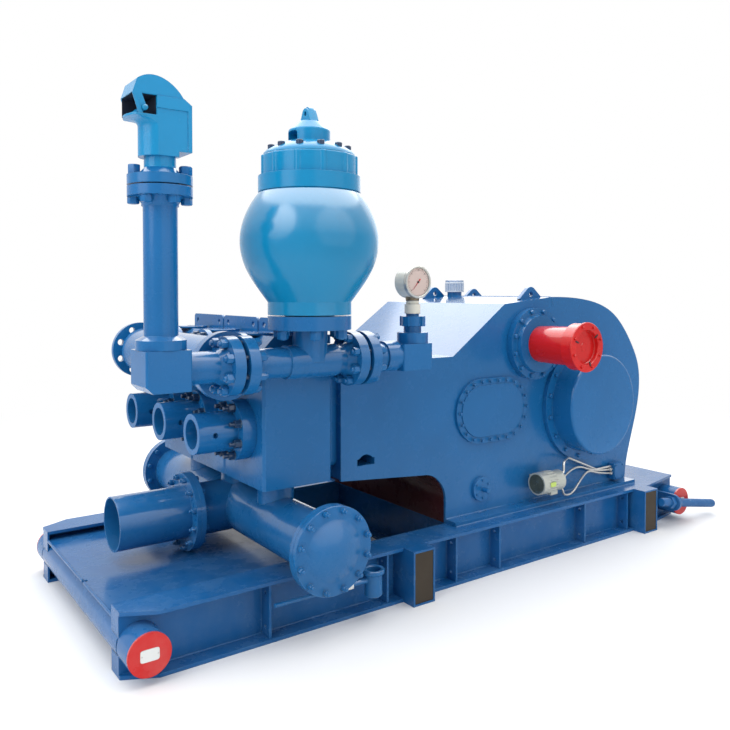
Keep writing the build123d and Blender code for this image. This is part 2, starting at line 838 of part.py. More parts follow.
# Discharge block: the square corner of the line, chamfered on its front edges.
block_front_x = block_x - block_size / 2
block_rear_x = block_x + block_size / 2
with BuildPart() as discharge_block:
    with BuildSketch(Plane.XY.offset(block_bottom_z)):
        with Locations((block_x, line_y)):
            Rectangle(block_size, block_size)
    extrude(amount=block_top_z - block_bottom_z)
    chamfer(discharge_block.faces().sort_by(Axis.X)[0].edges().filter_by(Axis.Y).sort_by(Axis.Z)[0], block_edge)
    fillet(discharge_block.edges().filter_by(Axis.Z), 12)
discharge_block.part.label = "discharge_block"
export_step(discharge_block.part, "parts/discharge_block.step")

# Riser: one turned shape from the collar to the top flange.
riser_top_z = block_top_z + riser_height
with BuildPart() as riser_pipe:
    with BuildSketch(Plane.XZ.offset(-line_y)):
        with BuildLine():
            Polyline(
                (block_x, block_top_z),
                (block_x + collar_r, block_top_z),
                (block_x + collar_r, block_top_z + collar_height),
                (block_x + line_r, block_top_z + collar_height + collar_taper),
                (block_x + line_r, riser_top_z - riser_flange_t - line_hub),
                (block_x + line_hub_r, riser_top_z - riser_flange_t),
                (block_x + line_flange_r, riser_top_z - riser_flange_t),
                (block_x + line_flange_r, riser_top_z),
                (block_x, riser_top_z),
                close=True,
            )
        make_face()
    revolve(axis=Axis((block_x, line_y, 0), (0, 0, 1)))
riser_pipe.part.label = "riser_pipe"
export_step(riser_pipe.part, "parts/riser_pipe.step")

# Relief valve: a flanged neck, a body with a half-round front that flares to a lip, and
# a shelf and back plate that carry the hood.
relief_flange_z = riser_top_z + joint_gap
relief_hub_z = relief_flange_z + riser_flange_t
relief_body_z = relief_hub_z + relief_hub_t + relief_neck_height
relief_front_axis = block_x + relief_front_x
relief_lip_top_z = relief_body_z + relief_lip_z
hood_z = relief_body_z + relief_shelf_z
with BuildPart() as relief_front:
    with BuildSketch(Plane.XZ.offset(-line_y)):
        with BuildLine():
            Polyline(
                (relief_front_axis, relief_lip_top_z),
                (relief_front_axis, relief_body_z),
                (relief_front_axis + relief_front_r, relief_body_z),
                (relief_front_axis + relief_front_r, relief_body_z + relief_front_height),
            )
            Spline(
                (relief_front_axis + relief_front_r, relief_body_z + relief_front_height),
                (relief_front_axis + relief_lip_r * 0.7, relief_lip_top_z - relief_lip_t * 1.7),
                (relief_front_axis + relief_lip_r, relief_lip_top_z - relief_lip_t),
                tangents=((0, 1), (1, 0.1)),
            )
            Polyline(
                (relief_front_axis + relief_lip_r, relief_lip_top_z - relief_lip_t),
                (relief_front_axis + relief_lip_r, relief_lip_top_z),
                (relief_front_axis, relief_lip_top_z),
            )
        make_face()
    revolve(axis=Axis((relief_front_axis, line_y, 0), (0, 0, 1)))
    # only the half ahead of the axis, no wider than the body
    with BuildSketch(Plane.XY.offset(relief_body_z)):
        with Locations((relief_front_axis, line_y)):
            Rectangle(relief_lip_r, 2 * relief_half_width, align=(Align.MAX, Align.CENTER))
    extrude(amount=relief_lip_z, mode=Mode.INTERSECT)
with BuildPart() as relief_valve_body:
    with BuildSketch(Plane.XZ.offset(-line_y)):
        with BuildLine():
            Polyline(
                (block_x, riser_top_z),
                (block_x + joint_ring_r, riser_top_z),
                (block_x + joint_ring_r, relief_flange_z),
                (block_x + line_flange_r, relief_flange_z),
                (block_x + line_flange_r, relief_hub_z),
                (block_x + relief_hub_r, relief_hub_z),
                (block_x + relief_neck_r, relief_hub_z + relief_hub_t),
                (block_x + relief_neck_r, relief_body_z),
                (block_x, relief_body_z),
                close=True,
            )
        make_face()
    revolve(axis=Axis((block_x, line_y, 0), (0, 0, 1)))
    add(relief_front.part)
    # square rear half, shelf, belt and back plate
    with BuildSketch(Plane.XZ.offset(-line_y)):
        with BuildLine():
            Polyline(
                (relief_front_axis, relief_body_z),
                (block_x + relief_back / 2, relief_body_z),
                (block_x + relief_back / 2, relief_body_z + relief_back_step),
                (block_x + relief_back - relief_back_plate_t, relief_body_z + relief_back_step),
                (block_x + relief_back - relief_back_plate_t, hood_z - belt_height),
                (block_x + relief_shelf_front, hood_z - belt_height),
                (block_x + relief_shelf_front, relief_lip_top_z),
                (relief_front_axis, relief_lip_top_z),
                close=True,
            )
        make_face()
    extrude(amount=relief_half_width, both=True)
    with BuildSketch(Plane.XZ.offset(-line_y)):
        with BuildLine():
            Polyline(
                (block_x + relief_shelf_front, hood_z - belt_height),
                (block_x + relief_back - relief_back_plate_t, hood_z - belt_height),
                (block_x + relief_back - relief_back_plate_t, relief_body_z + relief_back_step),
                (block_x + relief_back, relief_body_z + relief_back_step),
                (block_x + relief_back, hood_z - belt_height / 2),
                (block_x + relief_back - relief_back_plate_t * 2, hood_z),
                (block_x + relief_shelf_front, hood_z),
                close=True,
            )
        make_face()
    extrude(amount=relief_half_width + belt_proud, both=True)
relief_valve_body.part.label = "relief_valve_body"
export_step(relief_valve_body.part, "parts/relief_valve_body.step")

# Hood: a domed roof on the belt, open below in front of the shelf, with a thin leg each
# side down to the lip and a slanted strut that holds the release pin.
release_pin_z = hood_z - release_pin_drop
with BuildPart() as relief_valve_hood:
    with BuildSketch(Plane.XZ.offset(-line_y)):
        with BuildLine():
            Polyline(
                (block_x + relief_back - relief_back_plate_t * 2, hood_z),
                (block_x + hood_front, hood_z),
                (block_x + hood_front + hood_front_lean, hood_z + hood_front_height),
            )
            Spline(
                (block_x + hood_front + hood_front_lean, hood_z + hood_front_height),
                (block_x + hood_crown_x, hood_z + hood_crown_height),
                (block_x + hood_rear_x, hood_z + hood_rear_height),
                (block_x + relief_back - relief_back_plate_t * 2, hood_z),
            )
        make_face()
    extrude(amount=relief_half_width, both=True)
    for side in (-1, 1):
        inner_y = line_y + side * (relief_half_width - hood_leg_t)
        with BuildSketch(Plane.XZ.offset(-inner_y)):
            with BuildLine():
                Polyline(
                    (block_x + hood_front, hood_z),
                    (relief_front_axis - relief_front_r * 1.3, relief_lip_top_z),
                    (relief_front_axis - relief_front_r * 1.3 + hood_leg_width, relief_lip_top_z),
                    (block_x + hood_front + hood_leg_width, hood_z),
                    close=True,
                )
            make_face()
            with BuildLine():
                Polyline(
                    (block_x + hood_front + hood_leg_width, hood_z),
                    (block_x + release_pin_x - release_pin_r, release_pin_z),
                    (block_x + release_pin_x + release_pin_r, release_pin_z),
                    (block_x + hood_front + 2.2 * hood_leg_width, hood_z),
                    close=True,
                )
            make_face()
        extrude(amount=-side * hood_leg_t)
    with BuildSketch(Plane.XZ.offset(-line_y)):
        with Locations((block_x + release_pin_x, release_pin_z)):
            Circle(release_pin_r)
    extrude(amount=relief_half_width, both=True)
relief_valve_hood.part.label = "relief_valve_hood"
export_step(relief_valve_hood.part, "parts/relief_valve_hood.step")

# Line spool: pipe from the block to the first flange, with a side port to the manifold.
joint_1_front = joint_1_x - line_gap / 2
joint_1_back = joint_1_x + line_gap / 2
joint_2_front = joint_2_x - line_gap / 2
joint_2_back = joint_2_x + line_gap / 2
line_axis = Axis((0, line_y, line_z), (1, 0, 0))
with BuildPart() as line_spool:
    with BuildSketch(Plane.XZ.offset(-line_y)):
        with BuildLine():
            Polyline(
                (block_rear_x, line_z),
                (block_rear_x, line_z + line_r),
                (joint_1_front - line_flange_t - line_hub, line_z + line_r),
                (joint_1_front - line_flange_t, line_z + line_hub_r),
                (joint_1_front - line_flange_t, line_z + line_flange_r),
                (joint_1_front, line_z + line_flange_r),
                (joint_1_front, line_z),
                close=True,
            )
        make_face()
    revolve(axis=line_axis)
line_spool.part.label = "line_spool"
export_step(line_spool.part, "parts/line_spool.step")

# Dampener cross: a ball with two flanged runs and a flanged neck on top.
cross_flange_top_z = cross_flange_bottom_z + cross_flange_t
with BuildPart() as dampener_cross:
    with BuildSketch(Plane.XZ.offset(-line_y)):
        with BuildLine():
            Polyline(
                (joint_1_front, line_z),
                (joint_1_front, line_z + joint_ring_r),
                (joint_1_back, line_z + joint_ring_r),
                (joint_1_back, line_z + line_flange_r),
                (joint_1_back + line_flange_t, line_z + line_flange_r),
                (joint_1_back + line_flange_t, line_z + line_hub_r),
                (joint_1_back + line_flange_t + line_hub, line_z + line_r),
                (joint_2_front - line_flange_t - line_hub, line_z + line_r),
                (joint_2_front - line_flange_t, line_z + line_hub_r),
                (joint_2_front - line_flange_t, line_z + line_flange_r),
                (joint_2_front, line_z + line_flange_r),
                (joint_2_front, line_z),
                close=True,
            )
        make_face()
    revolve(axis=line_axis)
    with BuildSketch(Plane.XZ.offset(-line_y)):
        with Locations((port_x, line_z)):
            Circle(port_r)
    extrude(amount=-(manifold_near_y - line_y))
    # stout middle of the run, under the upright neck
    with BuildSketch(Plane.YZ.offset(cross_x - 1.6 * cross_neck_r)):
        with Locations((line_y, line_z)):
            Circle(cross_run_r)
    extrude(amount=3.2 * cross_neck_r)
    with BuildSketch(Plane.XY.offset(line_z)):
        with Locations((cross_x, line_y)):
            Circle(cross_neck_r)
    extrude(amount=cross_flange_bottom_z - line_z)
    with BuildSketch(Plane.XY.offset(cross_flange_bottom_z)):
        with Locations((cross_x, line_y)):
            Circle(cross_flange_r)
    extrude(amount=cross_flange_t)
dampener_cross.part.label = "dampener_cross"
export_step(dampener_cross.part, "parts/dampener_cross.step")

# ================================================================ pulsation dampener
dampener_base_z = cross_flange_top_z + joint_gap
dampener_foot_z = dampener_base_z + dampener_base_t
dampener_shoulder_z = dampener_foot_z + dampener_shoulder_rise
dampener_ring_r = cross_flange_r * 0.6
dampener_axis = Axis((cross_x, line_y, 0), (0, 0, 1))
with BuildPart() as dampener_body:
    with BuildSketch(Plane.XZ.offset(-line_y)):
        with BuildLine():
            Polyline(
                (cross_x + dampener_waist_r, dampener_foot_z),
                (cross_x + dampener_waist_r, dampener_base_z),
                (cross_x + dampener_ring_r, dampener_base_z),
                (cross_x + dampener_ring_r, cross_flange_top_z),
                (cross_x, cross_flange_top_z),
                (cross_x, dampener_shoulder_z),
                (cross_x + dampener_shoulder_r, dampener_shoulder_z),
            )
            Spline(
                (cross_x + dampener_waist_r, dampener_foot_z),
                (cross_x + dampener_low_r, dampener_foot_z + dampener_low_rise),
                (cross_x + dampener_belly_r, dampener_foot_z + dampener_belly_rise),
                (cross_x + dampener_max_r, dampener_foot_z + dampener_max_rise),
                (cross_x + dampener_high_r, dampener_foot_z + dampener_high_rise),
                (cross_x + dampener_shoulder_r, dampener_shoulder_z),
            )
        make_face()
    revolve(axis=dampener_axis)
dampener_body.part.label = "dampener_body"
export_step(dampener_body.part, "parts/dampener_body.step")

# Cover: a flange and a narrower band with bolt bosses, closing in to the cap's seat.
cover_band_z = dampener_shoulder_z + cover_flange_t
cover_band_top_z = cover_band_z + cover_band_t
cover_crown_z = cover_band_top_z + cover_crown_rise
with BuildPart() as dampener_cover:
    with BuildSketch(Plane.XY.offset(dampener_shoulder_z)):
        with Locations((cross_x, line_y)):
            Circle(cover_flange_r)
    extrude(amount=cover_flange_t - cover_groove_t)
    with BuildSketch(Plane.XY.offset(dampener_shoulder_z)):
        with Locations((cross_x, line_y)):
            Circle(cover_band_r)
            with PolarLocations(cover_band_r - cover_lug_r * 0.75, cover_lug_count, 15):
                Circle(cover_lug_r)
    extrude(amount=cover_band_top_z - dampener_shoulder_z)
    fillet(dampener_cover.faces().sort_by(Axis.Z)[-1].edges(), 9)
    with BuildSketch(Plane.XY.offset(cover_band_top_z)):
        with Locations((cross_x, line_y)):
            Circle(cover_crown_r)
    extrude(amount=cover_crown_rise, taper=cover_crown_slope)
dampener_cover.part.label = "dampener_cover"
export_step(dampener_cover.part, "parts/dampener_cover.step")

# Cap: a drum with a hipped roof, a window in its front, and a lifting eye on top.
cap_shoulder_z = cover_crown_z + cap_height
cap_top_z = cap_shoulder_z + cap_roof_rise
with BuildPart() as dampener_cap:
    with BuildSketch(Plane.XZ.offset(-line_y)):
        with BuildLine():
            Polyline(
                (cross_x, cap_top_z),
                (cross_x, cover_crown_z),
                (cross_x + cap_r, cover_crown_z),
                (cross_x + cap_r, cap_shoulder_z),
                (cross_x + cap_crown_r, cap_top_z),
                close=True,
            )
        make_face()
    revolve(axis=dampener_axis)
    fillet(dampener_cap.edges().filter_by(GeomType.CIRCLE).group_by(Axis.Z)[1], 14)
    with BuildSketch(Plane.YZ.offset(cross_x - cap_r)):
        with Locations((line_y, cover_crown_z + cap_height / 2)):
            RectangleRounded(cap_window_width, cap_window_height, 16)
    extrude(amount=cap_window_depth, mode=Mode.SUBTRACT)
    with BuildSketch(Plane.YZ.offset(cross_x - cap_eye_t / 2)):
        with BuildLine():
            Polyline(
                (line_y - cap_eye_base / 2, cap_top_z),
                (line_y - cap_eye_top_r, cap_top_z + cap_eye_height - cap_eye_top_r),
                (line_y, cap_top_z + cap_eye_height),
                (line_y + cap_eye_top_r, cap_top_z + cap_eye_height - cap_eye_top_r),
                (line_y + cap_eye_base / 2, cap_top_z),
                close=True,
            )
        make_face()
        with Locations((line_y, cap_top_z + cap_eye_height * 0.46)):
            Circle(cap_eye_hole_r, mode=Mode.SUBTRACT)
    extrude(amount=cap_eye_t)
    fillet(dampener_cap.edges().filter_by(Axis.X).group_by(Axis.Z)[-1], cap_eye_top_r)
dampener_cap.part.label = "dampener_cap"
export_step(dampener_cap.part, "parts/dampener_cap.step")

# ================================================================ gauge
gauge_block_front = gauge_block_x - gauge_block_length / 2
with BuildPart() as gauge_spool:
    with BuildSketch(Plane.XZ.offset(-line_y)):
        with BuildLine():
            Polyline(
                (joint_2_front, line_z),
                (joint_2_front, line_z + joint_ring_r),
                (joint_2_back, line_z + joint_ring_r),
                (joint_2_back, line_z + line_flange_r),
                (joint_2_back + line_flange_t, line_z + line_flange_r),
                (joint_2_back + line_flange_t, line_z + line_hub_r),
                (joint_2_back + line_flange_t + line_hub, line_z + gauge_stub_r),
                (gauge_block_front - gauge_sleeve, line_z + gauge_stub_r),
                (gauge_block_front - gauge_sleeve, line_z + gauge_sleeve_r),
                (gauge_block_front, line_z + gauge_sleeve_r),
                (gauge_block_front, line_z),
                close=True,
            )
        make_face()
    revolve(axis=line_axis)
    with BuildSketch(Plane.XY.offset(gauge_block_bottom_z)):
        with Locations((gauge_block_x, line_y)):
            RectangleRounded(gauge_block_length, gauge_block_width, 14)
    extrude(amount=gauge_block_top_z - gauge_block_bottom_z)
gauge_spool.part.label = "gauge_spool"
export_step(gauge_spool.part, "parts/gauge_spool.step")

# Union: a collar on the block, a neck, and a wing nut with four lugs.
union_neck_z = gauge_block_top_z + gauge_collar_t
union_nut_z = union_neck_z + gauge_union_neck
union_top_z = union_nut_z + gauge_nut_t
with BuildPart() as gauge_union:
    with BuildSketch(Plane.XY.offset(gauge_block_top_z)):
        with Locations((gauge_x, line_y)):
            Circle(gauge_collar_r)
    extrude(amount=gauge_collar_t)
    with BuildSketch(Plane.XY.offset(union_neck_z)):
        with Locations((gauge_x, line_y)):
            Circle(gauge_union_neck_r)
    extrude(amount=gauge_union_neck)
    with BuildSketch(Plane.XY.offset(union_nut_z)):
        with Locations((gauge_x, line_y)):
            Circle(gauge_nut_r - gauge_nut_lug / 2)
            with PolarLocations(gauge_nut_r - gauge_nut_lug / 2, 4, 20):
                Rectangle(gauge_nut_lug, gauge_nut_lug * 1.4)
    extrude(amount=gauge_nut_t)
    with BuildSketch(Plane.XY.offset(union_top_z)):
        with Locations((gauge_x, line_y)):
            Circle(gauge_stem_r)
    extrude(amount=gauge_seat_gap)
gauge_union.part.label = "gauge_union"
export_step(gauge_union.part, "parts/gauge_union.step")

# Gauge: a seat and stem under a round case with its dial towards the near side.
gauge_seat_z = union_top_z + gauge_seat_gap
gauge_case_z = gauge_seat_z + gauge_seat_t + gauge_stem
gauge_centre_z = gauge_case_z + gauge_r
with BuildPart() as pressure_gauge:
    with BuildSketch(Plane.XY.offset(gauge_seat_z)):
        with Locations((gauge_x, line_y)):
            Circle(gauge_seat_r)
    extrude(amount=gauge_seat_t)
    with BuildSketch(Plane.XY.offset(gauge_seat_z)):
        with Locations((gauge_x, line_y)):
            Circle(gauge_stem_r)
    extrude(amount=gauge_centre_z - gauge_seat_z)
    with BuildSketch(Plane.XZ.offset(-line_y - gauge_depth / 2)):
        with Locations((gauge_x, gauge_centre_z)):
            Circle(gauge_r)
    extrude(amount=gauge_depth)
pressure_gauge.part.label = "pressure_gauge"
export_step(pressure_gauge.part, "parts/pressure_gauge.step")

# ================================================================ power end
rail_top = rail_height
with BuildPart() as power_frame:
    with BuildSketch(Plane.XZ):
        with BuildLine():
            Polyline(
                (frame_arch_x, frame_arch_z),
                (frame_front_x, frame_front_bottom_z),
                (frame_front_x, frame_low_top_z),
                (frame_slope_start_x, frame_low_top_z),
                (frame_slope_end_x, frame_slope_end_z),
                (frame_peak_x, frame_peak_z),
            )
            Spline(
                (frame_peak_x, frame_peak_z),
                (frame_crown_x, frame_crown_z),
                (frame_shoulder_x, frame_shoulder_z),
                (frame_hip_x, frame_hip_z),
                (frame_back_x, frame_back_z),
                (frame_bulge_x, frame_bulge_z),
                (frame_calf_x, frame_calf_z),
                (frame_tail_x, rail_top),
            )
            Polyline(
                (frame_tail_x, rail_top),
                (frame_heel_x, rail_top),
                (frame_heel_x, frame_heel_z),
            )
            Spline(
                (frame_heel_x, frame_heel_z),
                (frame_instep_x, frame_instep_z),
                (frame_arch_x, frame_arch_z),
                tangents=((0, 1), (-1, 0.06)),
            )
        make_face()
    extrude(amount=frame_half_width, both=True)
    with BuildSketch(Plane.XY.offset(rail_top)):
        with Locations(((frame_heel_x + frame_tail_x) / 2, 0)):
            Rectangle(frame_tail_x - frame_heel_x, 2 * (frame_half_width + frame_foot_ledge))
    extrude(amount=frame_foot_t)
    for side in (-1, 1):
        with BuildSketch(Plane.XZ.offset(side * frame_half_width)):
            with Locations((frame_port_x, frame_port_z)):
                Circle(frame_port_r)
            with Locations((frame_port_x, frame_port_z)):
                Rectangle(2 * frame_port_r, frame_port_r, align=top_aligned, mode=Mode.SUBTRACT)
            with Locations((frame_port_x, frame_port_z)):
                Rectangle(2 * frame_port_r, frame_port_r * 0.62, align=bottom_aligned)
        extrude(amount=-side * frame_port_depth, mode=Mode.SUBTRACT)
power_frame.part.label = "power_frame"
export_step(power_frame.part, "parts/power_frame.step")

# Adapter: the narrower block that joins the modules to the frame.
with BuildPart() as module_adapter:
    with BuildSketch(Plane.YZ.offset(module_back_x)):
        with Locations((0, (adapter_bottom_z + adapter_top_z) / 2)):
            RectangleRounded(2 * adapter_half_width, adapter_top_z - adapter_bottom_z, 40)
    extrude(amount=frame_front_x - module_back_x)
module_adapter.part.label = "module_adapter"
export_step(module_adapter.part, "parts/module_adapter.step")

with BuildPart() as inspection_covers:
    for side in (-1, 1):
        with BuildSketch(Plane.XZ.offset(side * frame_half_width)):
            with Locations((cover_x, cover_z)):
                SlotOverall(oval_length, oval_height)
        extrude(amount=side * oval_t)
        with BuildSketch(Plane.XZ.offset(side * (frame_half_width + oval_t))):
            with Locations((cover_x, cover_z)):
                SlotOverall(oval_length - 2 * oval_pad_inset, oval_height - 2 * oval_pad_inset)
        extrude(amount=side * oval_pad_t / 2)
inspection_covers.part.label = "inspection_covers"
export_step(inspection_covers.part, "parts/inspection_covers.step")

pinion_flange_y = frame_half_width + pinion_flange_t
pinion_hub_y = pinion_flange_y + pinion_hub_t
guard_tip_y = pinion_hub_y + guard_length
with BuildPart() as pinion_housings:
    for side in (-1, 1):
        with BuildSketch(Plane.XZ.offset(side * frame_half_width)):
            with Locations((pinion_x, pinion_z)):
                Circle(pinion_flange_r)
        extrude(amount=side * pinion_flange_t)
        with BuildSketch(Plane.XZ.offset(side * pinion_flange_y)):
            with Locations((pinion_x, pinion_z)):
                Circle(pinion_hub_r)
        extrude(amount=side * pinion_hub_t, taper=12)
pinion_housings.part.label = "pinion_housings"
export_step(pinion_housings.part, "parts/pinion_housings.step")

# Shaft guards: closed drums over the pinion shaft's ends, with a stepped end face.
with BuildPart() as shaft_guards:
    for side in (-1, 1):
        with BuildSketch(Plane.XZ.offset(side * pinion_hub_y)):
            with Locations((pinion_x, pinion_z)):
                Circle(guard_r)
        extrude(amount=side * (guard_tip_y - pinion_hub_y))
        with BuildSketch(Plane.XZ.offset(side * guard_tip_y)):
            with Locations((pinion_x, pinion_z)):
                Circle(guard_ring_r)
        extrude(amount=-side * guard_ring_t)
        with BuildSketch(Plane.XZ.offset(side * guard_tip_y)):
            with Locations((pinion_x, pinion_z)):
                Circle(guard_recess_r)
        extrude(amount=-side * guard_recess, mode=Mode.SUBTRACT)
shaft_guards.part.label = "shaft_guards"
export_step(shaft_guards.part, "parts/shaft_guards.step")

with BuildPart() as bearing_housings:
    for side in (-1, 1):
        with BuildSketch(Plane.XZ.offset(side * frame_half_width)):
            with Locations((bearing_x, bearing_z)):
                Circle(bearing_ring_r)
        extrude(amount=side * bearing_ring_t)
        with BuildSketch(Plane.XZ.offset(side * frame_half_width)):
            with Locations((bearing_x, bearing_z)):
                Circle(bearing_drum_r)
        extrude(amount=side * bearing_reach)
    fillet(bearing_housings.faces().sort_by(Axis.Y)[0].edges(), bearing_edge)
    fillet(bearing_housings.faces().sort_by(Axis.Y)[-1].edges(), bearing_edge)
bearing_housings.part.label = "bearing_housings"
export_step(bearing_housings.part, "parts/bearing_housings.step")

# Small side caps with a drain cock each.
with BuildPart() as side_caps:
    for side in (-1, 1):
        with BuildSketch(Plane.XZ.offset(side * frame_half_width)):
            with Locations((side_cap_x, side_cap_z)):
                Circle(side_cap_r)
        extrude(amount=side * side_cap_t)
        with BuildSketch(Plane.XZ.offset(side * (frame_half_width + side_cap_t))):
            with Locations((side_cap_x, side_cap_z)):
                Circle(cock_r)
        extrude(amount=side * cock_length)
side_caps.part.label = "side_caps"
export_step(side_caps.part, "parts/side_caps.step")

# Lifting ears: drilled tabs welded on the frame's crown.
with BuildPart() as frame_lifting_ears:
    for x, y, base_z in ear_places:
        with BuildSketch(Plane.XZ.offset(-y)):
            with Locations((x, base_z + ear_r * 0.5)):
                Circle(ear_r)
                Rectangle(2 * ear_r, 2 * ear_r, align=top_aligned)
                Circle(ear_hole_r, mode=Mode.SUBTRACT)
        extrude(amount=ear_t / 2, both=True)
    add(power_frame.part, mode=Mode.SUBTRACT)
frame_lifting_ears.part.label = "frame_lifting_ears"
export_step(frame_lifting_ears.part, "parts/frame_lifting_ears.step")

with BuildPart() as breather:
    with BuildSketch(Plane.XY.offset(frame_peak_z - 40)):
        with Locations((breather_x, breather_y)):
            Circle(breather_base_r)
    extrude(amount=breather_base_height + 40)
    with BuildSketch(Plane.XY.offset(frame_peak_z + breather_base_height)):
        with Locations((breather_x, breather_y)):
            Circle(breather_cap_r)
    extrude(amount=breather_cap_height)
    add(power_frame.part, mode=Mode.SUBTRACT)
breather.part.label = "breather"
export_step(breather.part, "parts/breather.step")

# Lube oil motor beside the frame, on a foot plate off the wall.
motor_y = -frame_half_width - motor_stand_off
motor_front = motor_x - motor_length / 2
motor_back = motor_x + motor_length / 2
with BuildPart() as lube_motor:
    with BuildSketch(Plane.YZ.offset(motor_front)):
        with Locations((motor_y, motor_z)):
            Circle(motor_r)
    extrude(amount=motor_length)
    with BuildSketch(Plane.YZ.offset(motor_front)):
        with Locations((motor_y, motor_z)):
            Circle(motor_fan_r)
    extrude(amount=motor_fan_length)
    with BuildSketch(Plane.XZ.offset(frame_half_width)):
        with Locations((motor_x, motor_z)):
            Rectangle(motor_foot_width, motor_r)
    extrude(amount=-motor_y - frame_half_width)
    with BuildSketch(Plane.XY.offset(motor_z)):
        with Locations((motor_x + 30, motor_y)):
            Rectangle(motor_box, motor_box)
    extrude(amount=-motor_r - 18)
lube_motor.part.label = "lube_motor"
export_step(lube_motor.part, "parts/lube_motor.step")

with BuildPart() as junction_box:
    with BuildSketch(Plane.XZ.offset(frame_half_width)):
        with Locations((box_x, box_z)):
            RectangleRounded(box_width, box_height, 10)
    extrude(amount=box_depth)
junction_box.part.label = "junction_box"
export_step(junction_box.part, "parts/junction_box.step")

# Lube and wiring tubes: bent steel tube from the motor to the wall and the box.
tube_y = -frame_half_width - tube_r - 6
box_front = box_x - box_width / 2
with BuildPart() as lube_tubes:
    with BuildLine() as upper_run:
        FilletPolyline(
            (motor_back, motor_y, motor_z + tube_exit),
            (motor_back + tube_stub, motor_y, motor_z + tube_exit),
            (motor_back + tube_stub, motor_y, motor_z + tube_exit + tube_rise),
            (motor_back + tube_reach, tube_y - tube_bow, motor_z + tube_exit + tube_rise),
            (box_front - tube_reach, tube_y - tube_gap, box_z + tube_entry),
            (box_front, tube_y - tube_gap, box_z + tube_entry),
            radius=tube_bend_r,
        )
    with BuildSketch(Plane(origin=upper_run.line @ 0, z_dir=upper_run.line % 0)):
        Circle(tube_r)
    sweep(path=upper_run.line)
lube_tubes.part.label = "lube_tubes"
export_step(lube_tubes.part, "parts/lube_tubes.step")
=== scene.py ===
import json
import math
import bmesh
import bpy
import numpy as np
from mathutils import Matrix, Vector


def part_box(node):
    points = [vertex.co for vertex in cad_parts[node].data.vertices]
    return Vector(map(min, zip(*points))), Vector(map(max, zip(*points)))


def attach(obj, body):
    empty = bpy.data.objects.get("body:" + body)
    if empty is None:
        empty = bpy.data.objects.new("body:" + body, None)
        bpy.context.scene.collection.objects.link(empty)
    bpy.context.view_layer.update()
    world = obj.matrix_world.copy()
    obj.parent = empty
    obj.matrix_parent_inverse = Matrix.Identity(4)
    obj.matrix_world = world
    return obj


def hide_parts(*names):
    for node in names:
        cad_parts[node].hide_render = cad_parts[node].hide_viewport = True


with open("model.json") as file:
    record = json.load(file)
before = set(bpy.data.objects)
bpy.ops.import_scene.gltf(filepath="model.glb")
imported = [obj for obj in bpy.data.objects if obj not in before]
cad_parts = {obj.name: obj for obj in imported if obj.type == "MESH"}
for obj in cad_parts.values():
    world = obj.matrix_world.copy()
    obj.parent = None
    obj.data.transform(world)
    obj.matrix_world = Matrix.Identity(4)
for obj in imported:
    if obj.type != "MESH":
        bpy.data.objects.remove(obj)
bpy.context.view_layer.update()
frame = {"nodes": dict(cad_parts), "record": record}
nodes = frame["nodes"]
print("frame loaded with", len(nodes), "nodes")


# shader helpers: one call makes a node, sets its values and links its inputs
def shaderNode(tree, kind, inputs=None, **settings):
    made = tree.nodes.new("ShaderNode" + kind)
    for key, value in settings.items():
        setattr(made, key, value)
    for key, value in (inputs or {}).items():
        if isinstance(value, bpy.types.NodeSocket):
            tree.links.new(value, made.inputs[key])
        else:
            made.inputs[key].default_value = value
    return made


def mixColour(tree, factor, first, second, blend="MIX"):
    made = shaderNode(tree, "Mix", data_type="RGBA", blend_type=blend)
    for key, value in ((0, factor), (6, first), (7, second)):
        if isinstance(value, bpy.types.NodeSocket):
            tree.links.new(value, made.inputs[key])
        else:
            made.inputs[key].default_value = value
    return made.outputs[2]


def remap(tree, value, low, high, start=0.0, end=1.0):
    return shaderNode(tree, "MapRange", {0: value, 1: low, 2: high, 3: start, 4: end}).outputs[0]


def mathValue(tree, kind, first, second=0.0, **settings):
    return shaderNode(tree, "Math", {0: first, 1: second}, operation=kind, **settings).outputs[0]


def noiseValue(tree, place, scale, detail=3.0, roughness=0.5):
    return shaderNode(tree, "TexNoise", {"Vector": place, "Scale": scale, "Detail": detail,
                                         "Roughness": roughness}).outputs[0]


# parts of a node in another colour: a foot painted before it was joined, and red primer inside the arch
# darkened as painted shade, which lies low, ahead of its rear, between the walls and never on a face that looks
# up
def partShade(tree, look, shade, place, up):
    part = shaderNode(tree, "SeparateXYZ", {0: place}).outputs
    if "foot" in look:
        foot = look["foot"]
        below = remap(tree, part[2], foot["top"], foot["top"] - 0.002)
        shade = mixColour(tree, below, shade, (*foot["colour"], 1.0))
    if "shadedPrimer" in look:
        shadedPrimer = look["shadedPrimer"]
        across = mathValue(tree, "ABSOLUTE", part[1])
        inside = remap(tree, across, shadedPrimer["halfWidth"], shadedPrimer["halfWidth"] - 0.002)
        for value, low, high in ((part[2], shadedPrimer["top"], shadedPrimer["top"] - 0.01),
                                 (part[0], shadedPrimer["rear"], shadedPrimer["rear"] - 0.01), (up, 0.2, 0.1)):
            inside = mathValue(tree, "MULTIPLY", inside, remap(tree, value, low, high))
        shade = mixColour(tree, inside, shade, (*shadedPrimer["colour"], 1.0))
    return shade


# two grains of bump over the rounded edges: fine peel, then broad waves
def paintBump(tree, look, place, edge):
    peel = noiseValue(tree, place, look["peelScale"], 2.0)
    wave = noiseValue(tree, place, look["waveScale"], 1.0)
    fineBump = shaderNode(tree, "Bump", {"Strength": look["peel"], "Distance": 0.0006, "Height": peel,
                                         "Normal": edge})
    return shaderNode(tree, "Bump", {"Strength": look["wave"], "Distance": 0.004, "Height": wave,
                                     "Normal": fineBump.outputs[0]}).outputs[0]
